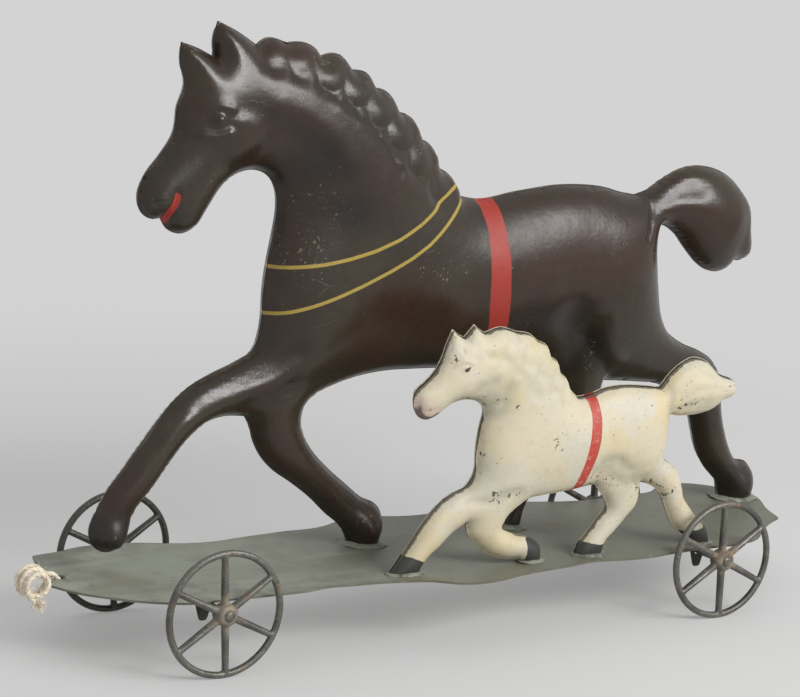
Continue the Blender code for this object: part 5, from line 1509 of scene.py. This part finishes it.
def make_horse(size, finish, slot):
    """Both pressed halves of a horse."""
    horse = HORSES[size]
    outline = closed_outline(horse["outline"], horse["outline_step"])
    sheet = outline_sheet(outline, horse["insets"], horse["step"], horse["fine"])
    cut_off(sheet, HOOF_CUT, 1)
    bmesh.ops.triangulate(sheet, faces=[face for face in sheet.faces if len(face.verts) > 4])
    points = np.array([(vert.co.x, vert.co.y) for vert in sheet.verts])
    heights, grooves = relief(points, outline, horse)
    store(sheet, "groove", grooves)
    store(sheet, "worn", near_spots(points, horse["worn"]))
    store(sheet, "soil_and_shade", near_spots(points, horse["soil_and_shade"]))
    sheltered = SHELTERED * (1 - edge_facing(points, outline))
    store(sheet, "edge", smooth_distance(points, outline) + sheltered)
    for mark, patches in horse["marks"].items():
        store(sheet, mark, mark_distance(points, patches))
    for vert, height in zip(sheet.verts, heights):
        vert.co.z = height
    for side, sign in (("left", -1), ("right", 1)):
        shape = sheet.copy()
        bmesh.ops.solidify(shape, geom=shape.faces[:], thickness=horse["tin"])
        for vert in shape.verts:
            if sign > 0:
                lifted = min(max((vert.co.y - LIFT_START) / LIFT_REACH, 0.0), 1.0)
                vert.co.y += horse["far_lift"] * lifted
            vert.co.y = max(vert.co.y, HOOF_CUT)
            vert.co.z = max(vert.co.z, 0.0) + GAP / 2
        upright = Matrix(((1, 0, 0, 0), (0, 0, sign, 0), (0, 1, 0, 0), (0, 0, 0, 1)))
        bmesh.ops.transform(shape, matrix=on_platform(horse) @ upright, verts=shape.verts)
        if sign > 0:
            bmesh.ops.reverse_faces(shape, faces=shape.faces)
            rim = shape.verts.layers.float["edge"]
            for vert in shape.verts:
                vert[rim] += horse["far_rim"]
        half = f"{horse['name']}_{side}"
        mesh = mesh_of(shape, f"{half}_half", 60)
        add_piece(f"{half}_shell", mesh, finish, "toy_body", slot, f"{half}_half")
    sheet.free()


def make_solder_drop(horse, node, middle, reach, finish):
    """A low, uneven drop of solder, cut flat where it lies on the platform."""
    shape = bmesh.new()
    bmesh.ops.create_uvsphere(shape, u_segments=40, v_segments=20, radius=1.0)
    for vert in shape.verts:
        lump = 1 + 0.16 * noise.noise(vert.co * 1.7 + Vector((middle, 0, 0)))
        lump += 0.05 * noise.noise(vert.co * 5.0 + Vector((0, middle, 0)))
        vert.co = [part * size * lump for part, size in zip(vert.co, reach)]
    bmesh.ops.edgeloop_fill(shape, edges=cut_off(shape, -SOLDER_SUNK, 2))
    bmesh.ops.translate(shape, vec=(middle, 0, 0), verts=shape.verts)
    bmesh.ops.transform(shape, matrix=on_platform(horse), verts=shape.verts)
    bmesh.ops.recalc_face_normals(shape, faces=shape.faces)
    add_piece(f"{node}_drop", mesh_of(shape, node, 60), finish, "toy_body", "solder", node)


def make_solder(look):
    finish = solder_finish(look)
    for size, hooves in HOOF_SOLDER.items():
        horse = HORSES[size]
        margin = SOLDER_MARGIN[size]
        for hoof, (middle, base, half_width) in hooves.items():
            reach = (base / 2 + margin, half_width + margin, SOLDER_HEIGHT[size])
            node = f"{horse['name']}_{hoof}_hoof_solder"
            make_solder_drop(horse, node, middle, reach, finish)


# Operators and panel

class TINTOY_OT_stage(bpy.types.Operator):
    """Make the camera, the floor, the backdrop and the lamps"""

    bl_idname = "tin_toy.stage"
    bl_label = "Stage"

    def execute(self, context):
        make_camera()
        make_stage(context.scene.tin_toy_stage)
        return {"FINISHED"}


class TINTOY_OT_pull_string(bpy.types.Operator):
    """Make the knotted pull string and its frayed end"""

    bl_idname = "tin_toy.pull_string"
    bl_label = "Pull string"

    def execute(self, context):
        make_string(context.scene.tin_toy_string)
        return {"FINISHED"}


class TINTOY_OT_platform(bpy.types.Operator):
    """Make the wavy tin platform"""

    bl_idname = "tin_toy.platform"
    bl_label = "Platform"

    def execute(self, context):
        make_platform(context.scene.tin_toy_gear)
        return {"FINISHED"}


class TINTOY_OT_brackets(bpy.types.Operator):
    """Make the two axle brackets"""

    bl_idname = "tin_toy.brackets"
    bl_label = "Axle brackets"

    def execute(self, context):
        make_brackets(context.scene.tin_toy_gear)
        return {"FINISHED"}


class TINTOY_OT_axles(bpy.types.Operator):
    """Make the two wire axles with their peened ends"""

    bl_idname = "tin_toy.axles"
    bl_label = "Axles"

    def execute(self, context):
        make_axles(context.scene.tin_toy_gear)
        return {"FINISHED"}


class TINTOY_OT_wheels(bpy.types.Operator):
    """Make the four cast wheels"""

    bl_idname = "tin_toy.wheels"
    bl_label = "Wheels"

    def execute(self, context):
        make_wheels(context.scene.tin_toy_gear)
        return {"FINISHED"}


class TINTOY_OT_big_horse(bpy.types.Operator):
    """Make the two pressed halves of the large horse"""

    bl_idname = "tin_toy.big_horse"
    bl_label = "Large horse"

    def execute(self, context):
        make_horse("big", japan_finish(context.scene.tin_toy_horses), "dark_brown_japan")
        return {"FINISHED"}


class TINTOY_OT_small_horse(bpy.types.Operator):
    """Make the two pressed halves of the small horse"""

    bl_idname = "tin_toy.small_horse"
    bl_label = "Small horse"

    def execute(self, context):
        make_horse("small", cream_finish(context.scene.tin_toy_horses), "cream_paint")
        return {"FINISHED"}


class TINTOY_OT_solder(bpy.types.Operator):
    """Make the drops of solder under the standing hooves"""

    bl_idname = "tin_toy.solder"
    bl_label = "Solder"

    def execute(self, context):
        make_solder(context.scene.tin_toy_gear)
        return {"FINISHED"}


SETTINGS = {
    "tin_toy_horses": TinToyHorses,
    "tin_toy_gear": TinToyGear,
    "tin_toy_string": TinToyString,
    "tin_toy_stage": TinToyStage,
}
OPERATORS = (
    TINTOY_OT_stage,
    TINTOY_OT_pull_string,
    TINTOY_OT_platform,
    TINTOY_OT_brackets,
    TINTOY_OT_axles,
    TINTOY_OT_wheels,
    TINTOY_OT_big_horse,
    TINTOY_OT_small_horse,
    TINTOY_OT_solder,
)


class TINTOY_PT_panel(bpy.types.Panel):
    """The toy's settings, and a button for each piece"""

    bl_idname = "TINTOY_PT_panel"
    bl_label = "Tin horse platform toy"
    bl_space_type = "VIEW_3D"
    bl_region_type = "UI"
    bl_category = "Tin toy"

    def draw(self, context):
        for settings in SETTINGS:
            box = self.layout.box()
            group = getattr(context.scene, settings)
            for name in group.bl_rna.properties.keys():
                if name not in ("rna_type", "name"):
                    box.prop(group, name)
        for operator in OPERATORS:
            self.layout.operator(operator.bl_idname)


def register():
    for name, group in SETTINGS.items():
        bpy.utils.register_class(group)
        setattr(bpy.types.Scene, name, bpy.props.PointerProperty(type=group))
    for operator in OPERATORS:
        bpy.utils.register_class(operator)
    bpy.utils.register_class(TINTOY_PT_panel)


def unregister():
    bpy.utils.unregister_class(TINTOY_PT_panel)
    for operator in reversed(OPERATORS):
        bpy.utils.unregister_class(operator)
    for name, group in SETTINGS.items():
        delattr(bpy.types.Scene, name)
        bpy.utils.unregister_class(group)


def main():
    register()
    for operator in OPERATORS:
        group, name = operator.bl_idname.split(".")
        getattr(getattr(bpy.ops, group), name)()


if __name__ == "__main__":
    main()
